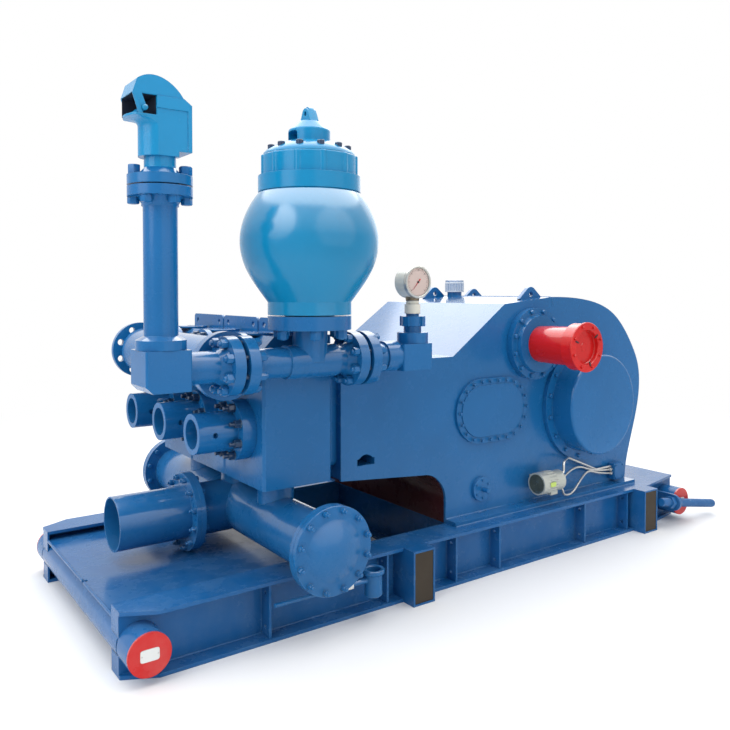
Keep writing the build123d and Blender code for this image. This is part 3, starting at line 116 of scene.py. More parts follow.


# one paint or metal recipe: broad shade drift, fine mottling, dust lying on upper faces, grime low down,
# rubbed edges, a bump with two grains, and a clear coat that grows as a face turns up, a painted sky reflection
def surfaceMaterial(name, look):
    made = bpy.data.materials.new(name)
    made.use_nodes = True
    tree = made.node_tree
    tree.nodes.clear()
    place = shaderNode(tree, "TexCoord").outputs["Object"]
    geometry = shaderNode(tree, "NewGeometry")
    broad = noiseValue(tree, place, look["driftScale"], 2.0)
    fine = noiseValue(tree, place, look["mottleScale"], 5.0, 0.6)
    colour = (*look["colour"], 1.0)
    dark = (*[c * (1 - look["drift"]) for c in look["colour"]], 1.0)
    light = (*[min(1.0, c * (1 + look["drift"])) for c in look["colour"]], 1.0)
    shade = mixColour(tree, remap(tree, broad, 0.35, 0.65), dark, light)
    shade = mixColour(tree, remap(tree, fine, 0.45, 0.75, 0.0, look["mottle"]), shade, colour)
    edge = shaderNode(tree, "Bevel", {"Radius": look["edgeRadius"]}, samples=4).outputs[0]
    along = shaderNode(tree, "VectorMath", {0: edge, 1: geometry.outputs["Normal"]},
                       operation="DOT_PRODUCT").outputs["Value"]
    worn = remap(tree, along, 0.985, 0.90, 0.0, 1.0)
    patch = remap(tree, fine, 0.50, 0.62, 0.0, look["edgeWear"])
    wornPatch = mathValue(tree, "MULTIPLY", worn, patch)
    shade = mixColour(tree, wornPatch, shade, (*look["wornColour"], 1.0))
    up = shaderNode(tree, "SeparateXYZ", {0: geometry.outputs["Normal"]}).outputs[2]
    height = shaderNode(tree, "SeparateXYZ", {0: place}).outputs[2]
    lying = remap(tree, up, 0.55, 0.98, 0.0, 1.0)
    low = remap(tree, height, 0.0, 0.9, look["grime"], 0.0)
    blotch = remap(tree, noiseValue(tree, place, look["dustScale"], 6.0, 0.65), 0.38, 0.72)
    dustPart = mathValue(tree, "MULTIPLY", lying, look["dust"])
    dirt = mathValue(tree, "ADD", dustPart, low)
    dirt = mathValue(tree, "MULTIPLY", dirt, blotch)
    shade = mixColour(tree, dirt, shade, (*look["dustColour"], 1.0))
    shade = partShade(tree, look, shade, place, up)
    rough = remap(tree, fine, 0.3, 0.7, look["roughness"] - look["roughSpread"],
                  look["roughness"] + look["roughSpread"])
    rough = mathValue(tree, "ADD", rough, dirt, use_clamp=True)
    # coat weight grows on faces that look up: a painted reflection of a bright sky, stronger on tops than on
    # sides
    coat = remap(tree, up, 0.05, 0.85, look["coat"], max(look["coat"], look["skyCoat"]))
    body = shaderNode(
        tree, "BsdfPrincipled", {"Base Color": shade, "Roughness": rough, "Metallic": look["metallic"],
                                 "Coat Weight": coat, "Specular IOR Level": look["gloss"],
                                 "Coat Roughness": look["coatRoughness"], "Coat IOR": look["coatIndex"],
                                 "Normal": paintBump(tree, look, place, edge)})
    end = shaderNode(tree, "OutputMaterial")
    tree.links.new(body.outputs[0], end.inputs[0])
    return made


# gloss machine enamel; every finish below starts from this and changes a few values
enamel = {
    "colour": (0.008, 0.118, 0.318), "drift": 0.10, "driftScale": 0.9, "mottle": 0.5, "mottleScale": 9.0,
    "edgeRadius": 0.006, "edgeWear": 0.45, "wornColour": (0.11, 0.31, 0.56), "dust": 0.10,
    "dustScale": 5.0, "dustColour": (0.22, 0.34, 0.46), "grime": 0.16, "roughness": 0.26,
    "roughSpread": 0.06, "metallic": 0.0, "coat": 0.06, "coatRoughness": 0.10, "gloss": 0.20,
    "skyCoat": 1.0, "coatIndex": 1.7, "peel": 0.14, "peelScale": 420.0, "wave": 0.05, "waveScale": 5.0,
}
paleEnamel = {**enamel, "wornColour": (0.16, 0.46, 0.70)}
finishes = {
    "pump_blue": {**enamel},
    "skid_blue": {**enamel, "colour": (0.008, 0.100, 0.290), "dust": 0.08, "grime": 0.14, "edgeWear": 0.60,
                  "roughness": 0.20, "skyCoat": 0.25, "coatIndex": 1.5},
    "dampener_blue": {**paleEnamel, "colour": (0.004, 0.205, 0.405), "roughness": 0.20, "dust": 0.04,
                      "coatIndex": 2.5, "coatRoughness": 0.20},
    "coverBlue": {**paleEnamel, "colour": (0.005, 0.225, 0.450), "roughness": 0.22, "dust": 0.04,
                  "skyCoat": 0.6, "coatIndex": 1.5},
    "reliefBlue": {**paleEnamel, "colour": (0.005, 0.220, 0.450), "roughness": 0.24, "dust": 0.08,
                   "foot": {"top": 2.500, "colour": (0.008, 0.130, 0.335)}},
    "guard_red": {**enamel, "colour": (0.560, 0.012, 0.012), "roughness": 0.24,
                  "wornColour": (0.75, 0.20, 0.14), "dustColour": (0.62, 0.36, 0.33), "dust": 0.16,
                  "grime": 0.20},
    "lug_brown": {**enamel, "colour": (0.046, 0.036, 0.026), "roughness": 0.62, "coat": 0.0, "skyCoat": 0.0,
                  "wornColour": (0.16, 0.11, 0.07), "dustColour": (0.16, 0.13, 0.10), "peel": 0.6},
    "gauge_cream": {**enamel, "colour": (0.66, 0.64, 0.56), "roughness": 0.35,
                    "wornColour": (0.45, 0.42, 0.36), "dustColour": (0.45, 0.43, 0.38)},
    "motor_grey": {**enamel, "colour": (0.40, 0.42, 0.38), "roughness": 0.36, "metallic": 0.25, "coat": 0.15,
                   "wornColour": (0.42, 0.42, 0.38), "dustColour": (0.36, 0.35, 0.30), "peel": 0.5},
    "tube_steel": {**enamel, "colour": (0.52, 0.52, 0.50), "roughness": 0.34, "metallic": 0.9, "coat": 0.0,
                   "wornColour": (0.62, 0.60, 0.56), "dustColour": (0.36, 0.33, 0.29)},
    "frameBlue": {**enamel, "coatIndex": 1.95, "dust": 0.02,
                  # inside of the arch: red primer darkened almost to black, a painted shade
                  "shadedPrimer": {"halfWidth": 0.672, "top": 0.76, "rear": -0.10,
                             "colour": (0.050, 0.012, 0.012)}},
    "darkNut": {**enamel, "colour": (0.010, 0.034, 0.085), "roughness": 0.34, "coat": 0.2, "edgeWear": 1.0,
                "wornColour": (0.12, 0.24, 0.36)},
    # near-black finish for sheets that paint shade where there is only a hollow
    "deepBore": {**enamel, "colour": (0.010, 0.016, 0.030), "roughness": 0.7, "coat": 0.0, "skyCoat": 0.0,
                 "dust": 0.0},
    "grilleDark": {**enamel, "colour": (0.055, 0.070, 0.058), "roughness": 0.5, "coat": 0.0, "skyCoat": 0.0},
    "blackRubber": {**enamel, "colour": (0.018, 0.018, 0.020), "roughness": 0.55, "coat": 0.0},
    "palePlate": {**enamel, "colour": (0.72, 0.74, 0.72), "roughness": 0.38, "coat": 0.2, "grime": 0.1,
                  "wornColour": (0.45, 0.44, 0.42), "dustColour": (0.5, 0.48, 0.44)},
    "tagGreen": {**enamel, "colour": (0.48, 0.62, 0.14), "roughness": 0.4},
    "paleCap": {**enamel, "colour": (0.62, 0.66, 0.70), "roughness": 0.38, "dustColour": (0.42, 0.42, 0.42)},
    "gaugeDial": {**enamel, "colour": (0.52, 0.40, 0.36), "roughness": 0.30, "coat": 0.6, "drift": 0.04,
                  "dustColour": (0.45, 0.44, 0.40)},
    "gaugeCase": {**enamel, "colour": (0.44, 0.44, 0.41), "roughness": 0.28, "metallic": 0.55},
    # brass darkened further as painted shade under the gauge dial
    "gaugeSocket": {**enamel, "colour": (0.16, 0.13, 0.09), "roughness": 0.35, "metallic": 0.7,
                    "skyCoat": 0.1},
    "needleRed": {**enamel, "colour": (0.62, 0.02, 0.02), "roughness": 0.35},
}
materials = {key: surfaceMaterial(key, look) for key, look in finishes.items()}
slotOfNode = {entry["node"]: entry["material_slot"] for entry in frame["record"]["subparts"]}
slotOfNode.update(
    {"power_frame": "frameBlue", "relief_valve_body": "reliefBlue", "relief_valve_hood": "reliefBlue",
     "junction_box": "pump_blue", "dampener_cap": "coverBlue", "dampener_cover": "coverBlue"})
for key, thing in nodes.items():
    for slot in thing.material_slots:
        slot.material = materials[slotOfNode.get(key, "pump_blue")]
print("finishes made:", len(materials))


# faces of a grid of rows by columns; a closed grid joins its last column to its first
def gridFaces(rows, columns, closed=True):
    down = np.arange(rows - 1)[:, None] * columns
    across = np.arange(columns if closed else columns - 1)[None, :]
    beside = (across + 1) % columns
    return np.stack([down + across, down + beside, down + columns + beside, down + columns + across],
                    axis=-1).reshape(-1, 4)


# unit axis and two directions square to it, right-handed
def basis(axis):
    along = np.asarray(axis, float)
    along = along / np.linalg.norm(along)
    guide = np.array((1.0, 0.0, 0.0)) if abs(along[2]) > 0.9 else np.array((0.0, 0.0, 1.0))
    first = np.cross(guide, along)
    first /= np.linalg.norm(first)
    return along, first, np.cross(along, first)


# mesh object at the origin with merged seams and sharp edges kept over a set angle
def makePiece(name, points, faces, finish="pump_blue", slotName="pump_blue", sharp=32.0):
    points = np.asarray(points, float).reshape(-1, 3)
    mesh = bpy.data.meshes.new(name)
    mesh.vertices.add(len(points))
    mesh.vertices.foreach_set("co", points.ravel())
    mesh.loops.add(faces.size)
    mesh.loops.foreach_set("vertex_index", faces.astype(np.int32).ravel())
    mesh.polygons.add(len(faces))
    mesh.polygons.foreach_set("loop_start", np.arange(0, faces.size, 4, dtype=np.int32))
    mesh.update(calc_edges=True)
    work = bmesh.new()
    work.from_mesh(mesh)
    bmesh.ops.remove_doubles(work, verts=work.verts, dist=0.00002)
    bmesh.ops.recalc_face_normals(work, faces=work.faces)
    work.to_mesh(mesh)
    work.free()
    mesh.polygons.foreach_set("use_smooth", np.ones(len(mesh.polygons), bool))
    mesh.set_sharp_from_angle(angle=math.radians(sharp))
    piece = bpy.data.objects.new(name, mesh)
    bpy.context.scene.collection.objects.link(piece)
    mesh.materials.append(materials[finish])
    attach(piece, "root")
    return piece


# places on a circle round an axis
def circlePlaces(centre, axis, radius, count, start=0.0):
    along, first, second = basis(axis)
    angle = math.radians(start) + 2 * np.pi * np.arange(count)[:, None] / count
    return np.asarray(centre) + radius * (np.cos(angle) * first + np.sin(angle) * second)


# copies of one turned shape. A point at angle t on a row lies at the lesser of
# flat / cos(t folded into one side) and corner from the axis, at the row's height along it
def turnedPoints(rows, places, axis, sides=0, steps=24, seed=0):
    rows = np.asarray(rows, float)
    places = np.atleast_2d(places)
    angle = np.linspace(0, 2 * np.pi, steps, endpoint=False)
    wedge = np.pi / sides if sides else 1.0
    reach = 1 / np.cos(angle % (2 * wedge) - wedge) if sides else np.full(steps, 1e3)
    radius = np.minimum(rows[:, :1] * reach, rows[:, 1:2])
    along, first, second = basis(axis)
    spin = np.random.default_rng(seed).uniform(0, 2 * np.pi, len(places))[:, None] if sides else np.zeros(
        (1, 1))
    turn = angle[None, :] + spin
    ring = np.cos(turn)[..., None] * first + np.sin(turn)[..., None] * second
    points = places[:, None, None, :] + radius[None, ..., None] * ring[:, None] + rows[:, 2][None, :, None,
                                                                                             None] * along
    faces = gridFaces(len(rows), steps)
    lift = (np.arange(len(places)) * len(rows) * steps)[:, None, None]
    return points.reshape(-1, 3), (faces[None] + lift).reshape(-1, 4)


def joined(*parts):
    shift = np.cumsum([0] + [len(points) for points, faces in parts[:-1]])
    return (np.concatenate([points for points, faces in parts]),
            np.concatenate([faces + s for (points, faces), s in zip(parts, shift)]))


# rows with no flats, from pairs of radius and height
def roundRows(profile):
    return [(radius, radius, height) for radius, height in profile]


# rows of a washer with a hexagon nut and the rounded end of its stud
def nutRows(size, washer=True, stud=0.35):
    flat, corner, base = size / 2, size / 2 / math.cos(math.pi / 6), 0.0
    rows = [(0, 0, 0)]
    if washer:
        rows += roundRows([(flat * 1.22, 0), (flat * 1.22, size * 0.07), (flat * 1.18, size * 0.09)])
        base = size * 0.09
    top = base + size * 0.82
    rows += [(flat, flat * 1.02, base), (flat, corner, base + size * 0.05), (flat, corner, top - size * 0.07),
             (flat, flat * 0.98, top)]
    if stud:
        pin = size * 0.31
        end = top + size * stud
        return rows + roundRows([(pin, top), (pin, end - size * 0.06), (pin - size * 0.06, end), (0, end)])
    return rows + roundRows([(flat * 0.55, top + size * 0.015), (0, top + size * 0.02)])


# hexagon bolt head on a washer, slightly domed
def boltRows(size):
    flat, corner = size / 2, size / 2 / math.cos(math.pi / 6)
    top = size * 0.72
    return [(0, 0, 0), (flat * 1.2, flat * 1.2, 0), (flat * 1.2, flat * 1.2, size * 0.08),
            (flat, flat * 1.02, size * 0.09), (flat, corner, size * 0.13),
            (flat, corner, top - size * 0.08), (flat, flat * 0.97, top),
            (flat * 0.7, flat * 0.7, top + size * 0.02), (0, 0, top + size * 0.03)]


# socket-head cap bolt: a cylinder with a hexagon hollow
def socketRows(radius, height):
    outside = roundRows([(0, 0), (radius, 0), (radius, height - radius * 0.15), (radius * 0.88, height),
                         (radius * 0.62, height)])
    return outside + [(radius * 0.5, radius * 0.56, height - 0.001),
                      (radius * 0.5, radius * 0.56, height * 0.45), (0, 0, height * 0.4)]


def nuts(name, sets, size, finish="pump_blue", slotName="pump_blue", washer=True, stud=0.35, seed=1):
    rows = nutRows(size, washer, stud)
    parts = [turnedPoints(rows, places, axis, 6, 24, seed + i) for i, (places, axis) in enumerate(sets)]
    return makePiece(name, *joined(*parts), finish, slotName)


def bolts(name, sets, size, finish="pump_blue", slotName="pump_blue", seed=1):
    parts = [turnedPoints(boltRows(size), places, axis, 6, 24, seed + i) for i,
             (places, axis) in enumerate(sets)]
    return makePiece(name, *joined(*parts), finish, slotName)


# tube along a path: at each path point a ring of the local radius stands square to the path
def tubePoints(path, radius, steps=10, guide=(0.0, 0.0, 1.0)):
    path = np.asarray(path, float)
    tangent = np.gradient(path, axis=0)
    tangent /= np.linalg.norm(tangent, axis=1)[:, None]
    side = np.cross(tangent, np.asarray(guide, float))
    side /= np.linalg.norm(side, axis=1)[:, None]
    lift = np.cross(side, tangent)
    angle = np.linspace(0, 2 * np.pi, steps, endpoint=False)
    radius = np.broadcast_to(np.asarray(radius, float), (len(path),))[:, None, None]
    ring = np.cos(angle)[None, :, None] * side[:, None] - np.sin(angle)[None, :, None] * lift[:, None]
    points = path[:, None] + radius * ring
    points = np.concatenate([path[:1, None].repeat(steps, 1), points, path[-1:, None].repeat(steps, 1)])
    return points.reshape(-1, 3), gridFaces(len(points), steps)


# weld bead: a tube whose radius swells once per ripple
def beadPoints(path, width=0.010, ripple=0.009, steps=8, guide=(0.0, 0.0, 1.0)):
    path = np.asarray(path, float)
    run = np.concatenate([[0], np.cumsum(np.linalg.norm(np.diff(path, axis=0), axis=1))])
    count = max(4, int(run[-1] / (ripple / 3)))
    at = np.linspace(0, run[-1], count)
    fine = np.stack([np.interp(at, run, path[:, k]) for k in range(3)], axis=1)
    radius = width / 2 * (0.86 + 0.20 * np.abs(np.sin(np.pi * at / ripple)) + 0.06 * np.sin(at * 41.0))
    return tubePoints(fine, radius, steps, guide)


# box-shaped bits: centre plus and minus three half vectors, eight corners and six faces each
def blockPoints(centres, halfA, halfB, halfC):
    centres, halfA, halfB, halfC = (np.atleast_2d(np.asarray(v, float))
                                    for v in (centres, halfA, halfB, halfC))
    signs = np.array([(-1, -1, -1), (1, -1, -1), (1, 1, -1), (-1, 1, -1), (-1, -1, 1), (1, -1, 1),
                      (1, 1, 1), (-1, 1, 1)])
    points = (centres[:, None] + signs[None, :, :1] * halfA[:, None] + signs[None, :, 1:2] * halfB[:, None]
              + signs[None, :, 2:] * halfC[:, None])
    faces = np.array([(0, 3, 2, 1), (4, 5, 6, 7), (0, 1, 5, 4), (1, 2, 6, 5), (2, 3, 7, 6), (3, 0, 4, 7)])
    return points.reshape(-1, 3), (faces[None] + 8 * np.arange(len(points))[:, None, None]).reshape(-1, 4)


# thin plate with rounded corners: its edge at angle t lies at
# (|cos t / halfWidth|^p + |sin t / halfHeight|^p)^(-1/p) from the middle
def platePoints(centre, axis, halfWidth, halfHeight, thickness, power=7.0, steps=64):
    along, first, second = basis(axis)
    t = np.linspace(0, 2 * np.pi, steps, endpoint=False)
    reach = (np.abs(np.cos(t) / halfWidth) ** power + np.abs(np.sin(t) / halfHeight) ** power) ** (-1 / power)
    scale = np.array([0, 1, 1, 0.985, 0.0])[:, None]
    height = np.array([0, 0, 0.7, 1.0, 1.0])[:, None, None] * thickness
    ring = (np.cos(t) * reach)[:, None] * first + (np.sin(t) * reach)[:, None] * second
    points = np.asarray(centre, float) + scale[..., None] * ring[None] + height * along
    return points.reshape(-1, 3), gridFaces(5, steps)


# eye plate: its edge is the hull of a round eye and a wider foot; the edge at angle t lies at the least of
# support(n) / cos(t - n) over every direction n
def humpPoints(centre, along, radius, hole, footHalf, drop, thickness, steps=96):
    along = np.asarray(along, float)
    up = np.array([0.0, 0.0, 1.0])
    t = np.linspace(0, 2 * np.pi, steps, endpoint=False)
    n = np.linspace(0, 2 * np.pi, 360, endpoint=False)
    support = np.maximum(radius, np.maximum(footHalf * np.cos(n), -footHalf * np.cos(n)) - drop * np.sin(n))
    facing = np.cos(t[:, None] - n[None])
    reach = np.where(facing > 0.02, support[None] / np.maximum(facing, 0.02), np.inf).min(1)
    ring = np.cos(t)[:, None] * along + np.sin(t)[:, None] * up
    side = np.cross(along, up) * thickness / 2
    rows = []
    for scale, edge, level in ((0, hole, -0.9), (0, hole + 0.002, -1), (0.965, 0, -1), (1, 0, -0.84),
                               (1, 0, 0.84), (0.965, 0, 1), (0, hole + 0.002, 1), (0, hole, 0.9),
                               (0, hole, -0.9)):
        rows.append(np.asarray(centre, float) + (scale * reach + edge)[:, None] * ring + level * side)
    return np.stack(rows).reshape(-1, 3), gridFaces(9, steps)


# flanged joints of the discharge line: studs through both flanges, a nut outside each
lineJoints = {"studs": 8, "pitchRadius": 0.129, "half": 0.073, "nutSize": 0.044, "stud": 0.0135,
              "joints": ((-1.766, -0.905, 1.518), (-0.998, -0.905, 1.518))}
rods, nutParts = [], []
half, thick = lineJoints["half"], lineJoints["stud"]
nutShape = nutRows(lineJoints["nutSize"], False, 0.30)
rodShape = roundRows([(0, -half), (thick, -half), (thick, half), (0, half)])
for index, place in enumerate(lineJoints["joints"]):
    spots = circlePlaces(place, (1, 0, 0), lineJoints["pitchRadius"], lineJoints["studs"], 22.5)
    for sign in (-1, 1):
        nutParts.append(turnedPoints(nutShape, spots + (sign * half, 0, 0), (sign, 0, 0), 6, 24,
                                     index * 2 + (sign > 0)))
    rods.append(turnedPoints(rodShape, spots, (1, 0, 0)))
makePiece("line_joint_nuts", *joined(*nutParts))
makePiece("line_joint_rods", *joined(*rods), "darkNut", "pump_blue")
print("line joints bolted:", len(nutParts) * lineJoints["studs"], "nuts")

# relief valve: six big bolts driven up through its flange pair, two bosses above it, the release pin's
# heads and dark sheets under the hood that paint the shade inside its hollow
reliefBits = {
    "axis": (-2.164, -0.905), "under": 2.361, "over": 2.463, "pitchRadius": 0.125, "bolts": 6,
    "start": 10.0, "size": 0.050, "bossStart": 70.0, "bossSize": 0.056, "pin": (-2.269, 2.764),
    "pinHead": 0.014, "pinReach": 0.090, "shadeSheetX": -2.2112, "shadeSheetZ": (2.739, 2.829),
    "shadeSheetHalf": 0.078, "hoodFront": -2.322, "sheet": 0.0008}
axis = reliefBits["axis"]
bolts("relief_bolts", [(circlePlaces((*axis, reliefBits["under"]), (0, 0, 1), reliefBits["pitchRadius"],
                                     reliefBits["bolts"], reliefBits["start"]), (0, 0, -1))],
      reliefBits["size"])
nuts("relief_bosses", [(circlePlaces((*axis, reliefBits["over"]), (0, 0, 1),
                                     reliefBits["pitchRadius"] - 0.004, 2, reliefBits["bossStart"]),
                        (0, 0, 1))], reliefBits["bossSize"], stud=0)
head = reliefBits["pinHead"]
pinRows = roundRows([(0, 0), (head, 0), (head, 0.010), (head * 0.8, 0.015), (head * 0.4, 0.018), (0, 0.019)])
pinX, pinZ = reliefBits["pin"]
parts = [turnedPoints(pinRows, (pinX, axis[1] + side * reliefBits["pinReach"], pinZ), (0, side, 0), 0, 24)
         for side in (-1, 1)]
makePiece("relief_pin_heads", *joined(*parts), "dampener_blue", "dampener_blue")
low, high = reliefBits["shadeSheetZ"]
shadeSheetX, front = reliefBits["shadeSheetX"], reliefBits["hoodFront"]
middle, halfRun = (shadeSheetX + front) / 2, (shadeSheetX - front) / 2
wide, tall, sheet = reliefBits["shadeSheetHalf"], (high - low) / 2, reliefBits["sheet"]
# dark sheets on the shelf front, under the roof and along the hood's far side: painted shade inside the hollow
makePiece("relief_shade_sheets", *blockPoints(
    [(shadeSheetX, axis[1], low + tall), (middle, axis[1], high), (middle, axis[1] + wide, low + tall)],
    [(sheet, 0, 0), (halfRun, 0, 0), (halfRun, 0, 0)], [(0, wide, 0), (0, wide, 0), (0, sheet, 0)],
    [(0, 0, tall), (0, 0, sheet), (0, 0, tall)]), "deepBore", "dampener_blue")
print("relief valve dressed")

# dampener's foot: six studs with nuts hanging under the cross flange
dampenerFoot = {"centre": (-1.317, -0.905, 1.694), "pitchRadius": 0.186, "studs": 6, "start": 38.0,
                "nutSize": 0.054}
nuts("dampener_foot_nuts", [(circlePlaces(dampenerFoot["centre"], (0, 0, 1), dampenerFoot["pitchRadius"],
                                          dampenerFoot["studs"], dampenerFoot["start"]), (0, 0, -1))],
     dampenerFoot["nutSize"], stud=0.1)

# dampener's cover: a stepped crown, a socket bolt on each boss and a lifting eye
dampenerCover = {"centre": (-1.317, -0.905, 2.642), "pitchRadius": 0.214, "count": 12, "headRadius": 0.020,
                 "headHeight": 0.056,
                 "crown": ((0.100, 0.060), (0.128, 0.078), (0.150, 0.074), (0.185, 0.058), (0.220, 0.040),
                           (0.243, 0.024), (0.254, 0.012), (0.258, 0.000), (0.100, 0.000), (0.100, 0.060)),
                 "eye": {"height": 0.236, "radius": 0.031, "hole": 0.012, "footHalf": 0.056, "drop": 0.046,
                         "thickness": 0.056}}
makePiece("dampener_crown", *turnedPoints(roundRows(dampenerCover["crown"]), dampenerCover["centre"],
                                          (0, 0, 1), 0, 96), "coverBlue", "dampener_blue", 50)
places = circlePlaces(dampenerCover["centre"], (0, 0, 1), dampenerCover["pitchRadius"],
                      dampenerCover["count"], 15)
makePiece("dampener_cover_bolts", *turnedPoints(socketRows(dampenerCover["headRadius"],
                                                           dampenerCover["headHeight"]), places, (0, 0, 1),
                                                6, 24, 3), "darkNut", "dampener_blue")
eye = dampenerCover["eye"]
makePiece("dampener_eye", *humpPoints(np.array(dampenerCover["centre"]) + (0, 0, eye["height"]), (0, 1, 0),
                                      eye["radius"], eye["hole"], eye["footHalf"], eye["drop"],
                                      eye["thickness"]), "coverBlue", "dampener_blue", 28)
print("dampener bolted")

# discharge manifold's near flange: nuts clear of the port that joins the line there
manifoldEnd = {"centre": (-1.735, -0.740, 1.500), "pitchRadius": 0.146, "count": 8, "nutSize": 0.036,
               "port": (-1.625, -0.740, 1.518), "portClear": 0.088}
spots = circlePlaces(manifoldEnd["centre"], (0, -1, 0), manifoldEnd["pitchRadius"], manifoldEnd["count"],
                     22.5)
spots = spots[np.linalg.norm(spots - np.array(manifoldEnd["port"]), axis=1) > manifoldEnd["portClear"]]
nuts("manifold_end_nuts", [(spots, (0, -1, 0))], manifoldEnd["nutSize"], stud=0.5)

# suction flanges: bolts through each pair, a nut or head outside each flange
suctionFlanges = {"x": -1.317, "z": 0.522, "faceY": 1.152, "thickness": 0.030, "pitchRadius": 0.216,
                  "count": 12, "size": 0.030, "branchX": -1.671}


# places of one flange's bolts, seen along its axis
def flangeSet(x, y, axis):
    return circlePlaces((x, y, suctionFlanges["z"]), axis, suctionFlanges["pitchRadius"],
                        suctionFlanges["count"], 15), axis


sets, heads = [], []
thick = suctionFlanges["thickness"]
for sign in (-1, 1):
    sets.append(flangeSet(suctionFlanges["x"], sign * suctionFlanges["faceY"], (0, sign, 0)))
    heads.append(flangeSet(suctionFlanges["x"], sign * (suctionFlanges["faceY"] - 2 * thick), (0, -sign, 0)))
for sign, group in ((-1, sets), (1, heads)):
    group.append(flangeSet(suctionFlanges["branchX"] + sign * thick, 0.0, (sign, 0, 0)))
nuts("suction_nuts", sets, suctionFlanges["size"], stud=0.45)
bolts("suction_bolt_heads", heads, suctionFlanges["size"])
print("suction flanges bolted")

# cylinder heads and the necks from the discharge manifold: studs and nuts round each boss or pad
fluidEnd = {"pitch": 0.509, "count": 8, "rings": (("head_stud_nuts", -1.615, 1.105, 0.147, 0.042),
                                                  ("neck_stud_nuts", -1.565, 1.500, 0.139, 0.036))}
for name, x, z, radius, nutSize in fluidEnd["rings"]:
    sets = [(circlePlaces((x, k * fluidEnd["pitch"], z), (-1, 0, 0), radius, fluidEnd["count"], 22.5),
             (-1, 0, 0)) for k in (-1, 0, 1)]
    nuts(name, sets, nutSize, "darkNut", stud=0.7)
print("fluid end bolted")


# places round a stadium, two straight runs joined by half circles, each an equal step on: along a run x grows
# with the step, and round an end it is straight + radius sin(step / radius)
def stadiumPlaces(halfLength, radius, count):
    straight, arc = halfLength - radius, np.pi * radius
    at = np.arange(count) * (4 * straight + 2 * arc) / count
    firstRun = np.clip(at, 0, 2 * straight)
    firstArc = np.clip(at - 2 * straight, 0, arc) / radius
    backRun = np.clip(at - 2 * straight - arc, 0, 2 * straight)
    lastArc = np.clip(at - 4 * straight - arc, 0, arc) / radius
    onFirst = at < 2 * straight + arc
    x = np.where(onFirst, -straight + firstRun + radius * np.sin(firstArc),
                 straight - backRun - radius * np.sin(lastArc))
    z = np.where(onFirst, radius * np.cos(firstArc), -radius * np.cos(lastArc))
    return np.stack([x, np.zeros_like(x), z], 1)


# power end: rings of bolts on both sides, given by centre, radius, count, first angle and size
powerEnd = {
    "bearing_bolts": ((1.300, 0.724, 1.040), 0.416, 16, 11.25, 0.026),
    "pinion_bolts": ((0.727, 0.742, 1.520), 0.239, 12, 15, 0.028),
    "side_cap_bolts": ((0.207, 0.714, 0.522), 0.062, 6, 30, 0.014),
    "cover": (0.314, 0.722, 1.068), "coverHalf": (0.347, 0.227), "coverInset": 0.022, "coverCount": 22,
    "coverSize": 0.019}


def ringBolts(name):
    (x, y, z), radius, count, start, size = powerEnd[name]
    bolts(name, [(circlePlaces((x, side * y, z), (0, side, 0), radius, count, start), (0, side, 0))
                 for side in (-1, 1)], size)


ringBolts("bearing_bolts")
ringBolts("pinion_bolts")
halfLength, halfHeight = (half - powerEnd["coverInset"] for half in powerEnd["coverHalf"])
spots = stadiumPlaces(halfLength, halfHeight, powerEnd["coverCount"])
bolts("cover_bolts", [(spots + np.array(powerEnd["cover"]) * (1, side, 1), (0, side, 0)) for side in (-1, 1)],
      powerEnd["coverSize"])
ringBolts("side_cap_bolts")
print("power end bolted")


# gauge: a rolled bezel, a pale dial with a scale round three quarters of it, a needle on a hub
gaugeFace = {"caseRadius": 0.098, "dialRadius": 0.084, "markOuter": 0.078, "marks": 31, "sweep": 270.0,
             "markLong": (0.0065, 0.0012), "markShort": (0.0035, 0.0007), "markThickness": 0.0006,
             "needle": 0.066, "needleAngle": 229.0}
gaugeLow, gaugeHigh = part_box("pressure_gauge")
hub = np.array([(gaugeLow[0] + gaugeHigh[0]) / 2, gaugeLow[1], gaugeHigh[2] - gaugeFace["caseRadius"]])
rim = gaugeFace["caseRadius"]
rows = roundRows([(rim - 0.013, -0.004), (rim - 0.013, 0.006), (rim - 0.010, 0.009), (rim - 0.004, 0.010),
                  (rim + 0.001, 0.006), (rim + 0.001, -0.018), (rim - 0.003, -0.021), (rim - 0.013, -0.004)])
makePiece("gauge_bezel", *turnedPoints(rows[::-1], hub, (0, -1, 0), 0, 64), "gaugeCase", "gauge_cream")
dial = gaugeFace["dialRadius"]
makePiece("gauge_dial", *turnedPoints(roundRows([(0, -0.003), (dial, -0.003), (dial, 0.0010), (0, 0.0012)]),
                                      hub, (0, -1, 0), 0, 64), "gaugeDial", "gauge_cream")
angle = math.radians(225.0) - np.linspace(0, math.radians(gaugeFace["sweep"]), gaugeFace["marks"])
long = (np.arange(gaugeFace["marks"]) % 5 == 0)
outward = np.stack([np.cos(angle), np.zeros_like(angle), np.sin(angle)], 1)
aside = np.stack([-np.sin(angle), np.zeros_like(angle), np.cos(angle)], 1)
half, wide = (np.where(long, *pair)[:, None] for pair in zip(gaugeFace["markLong"], gaugeFace["markShort"]))
middles = hub + outward * (gaugeFace["markOuter"] - half) + np.array([0, -0.0016, 0])
raised = np.cross(outward, aside) * gaugeFace["markThickness"]
makePiece("gauge_marks", *blockPoints(middles, outward * half, aside * wide, raised), "blackRubber",
          "gauge_cream")
t = math.radians(gaugeFace["needleAngle"])
way = np.array([math.cos(t), 0, math.sin(t)])
path = hub + np.array([0, -0.0040, 0]) + way * np.linspace(-0.024, gaugeFace["needle"], 16)[:, None]
makePiece("gauge_needle", *tubePoints(path, np.linspace(0.0034, 0.0007, 16), 8, (0, 1, 0)), "needleRed",
          "gauge_cream")
makePiece("gauge_hub", *turnedPoints(roundRows([(0, 0.001), (0.007, 0.001), (0.007, 0.006), (0.004, 0.008),
                                                (0, 0.008)]), hub, (0, -1, 0), 0, 24), "blackRubber",
          "gauge_cream")
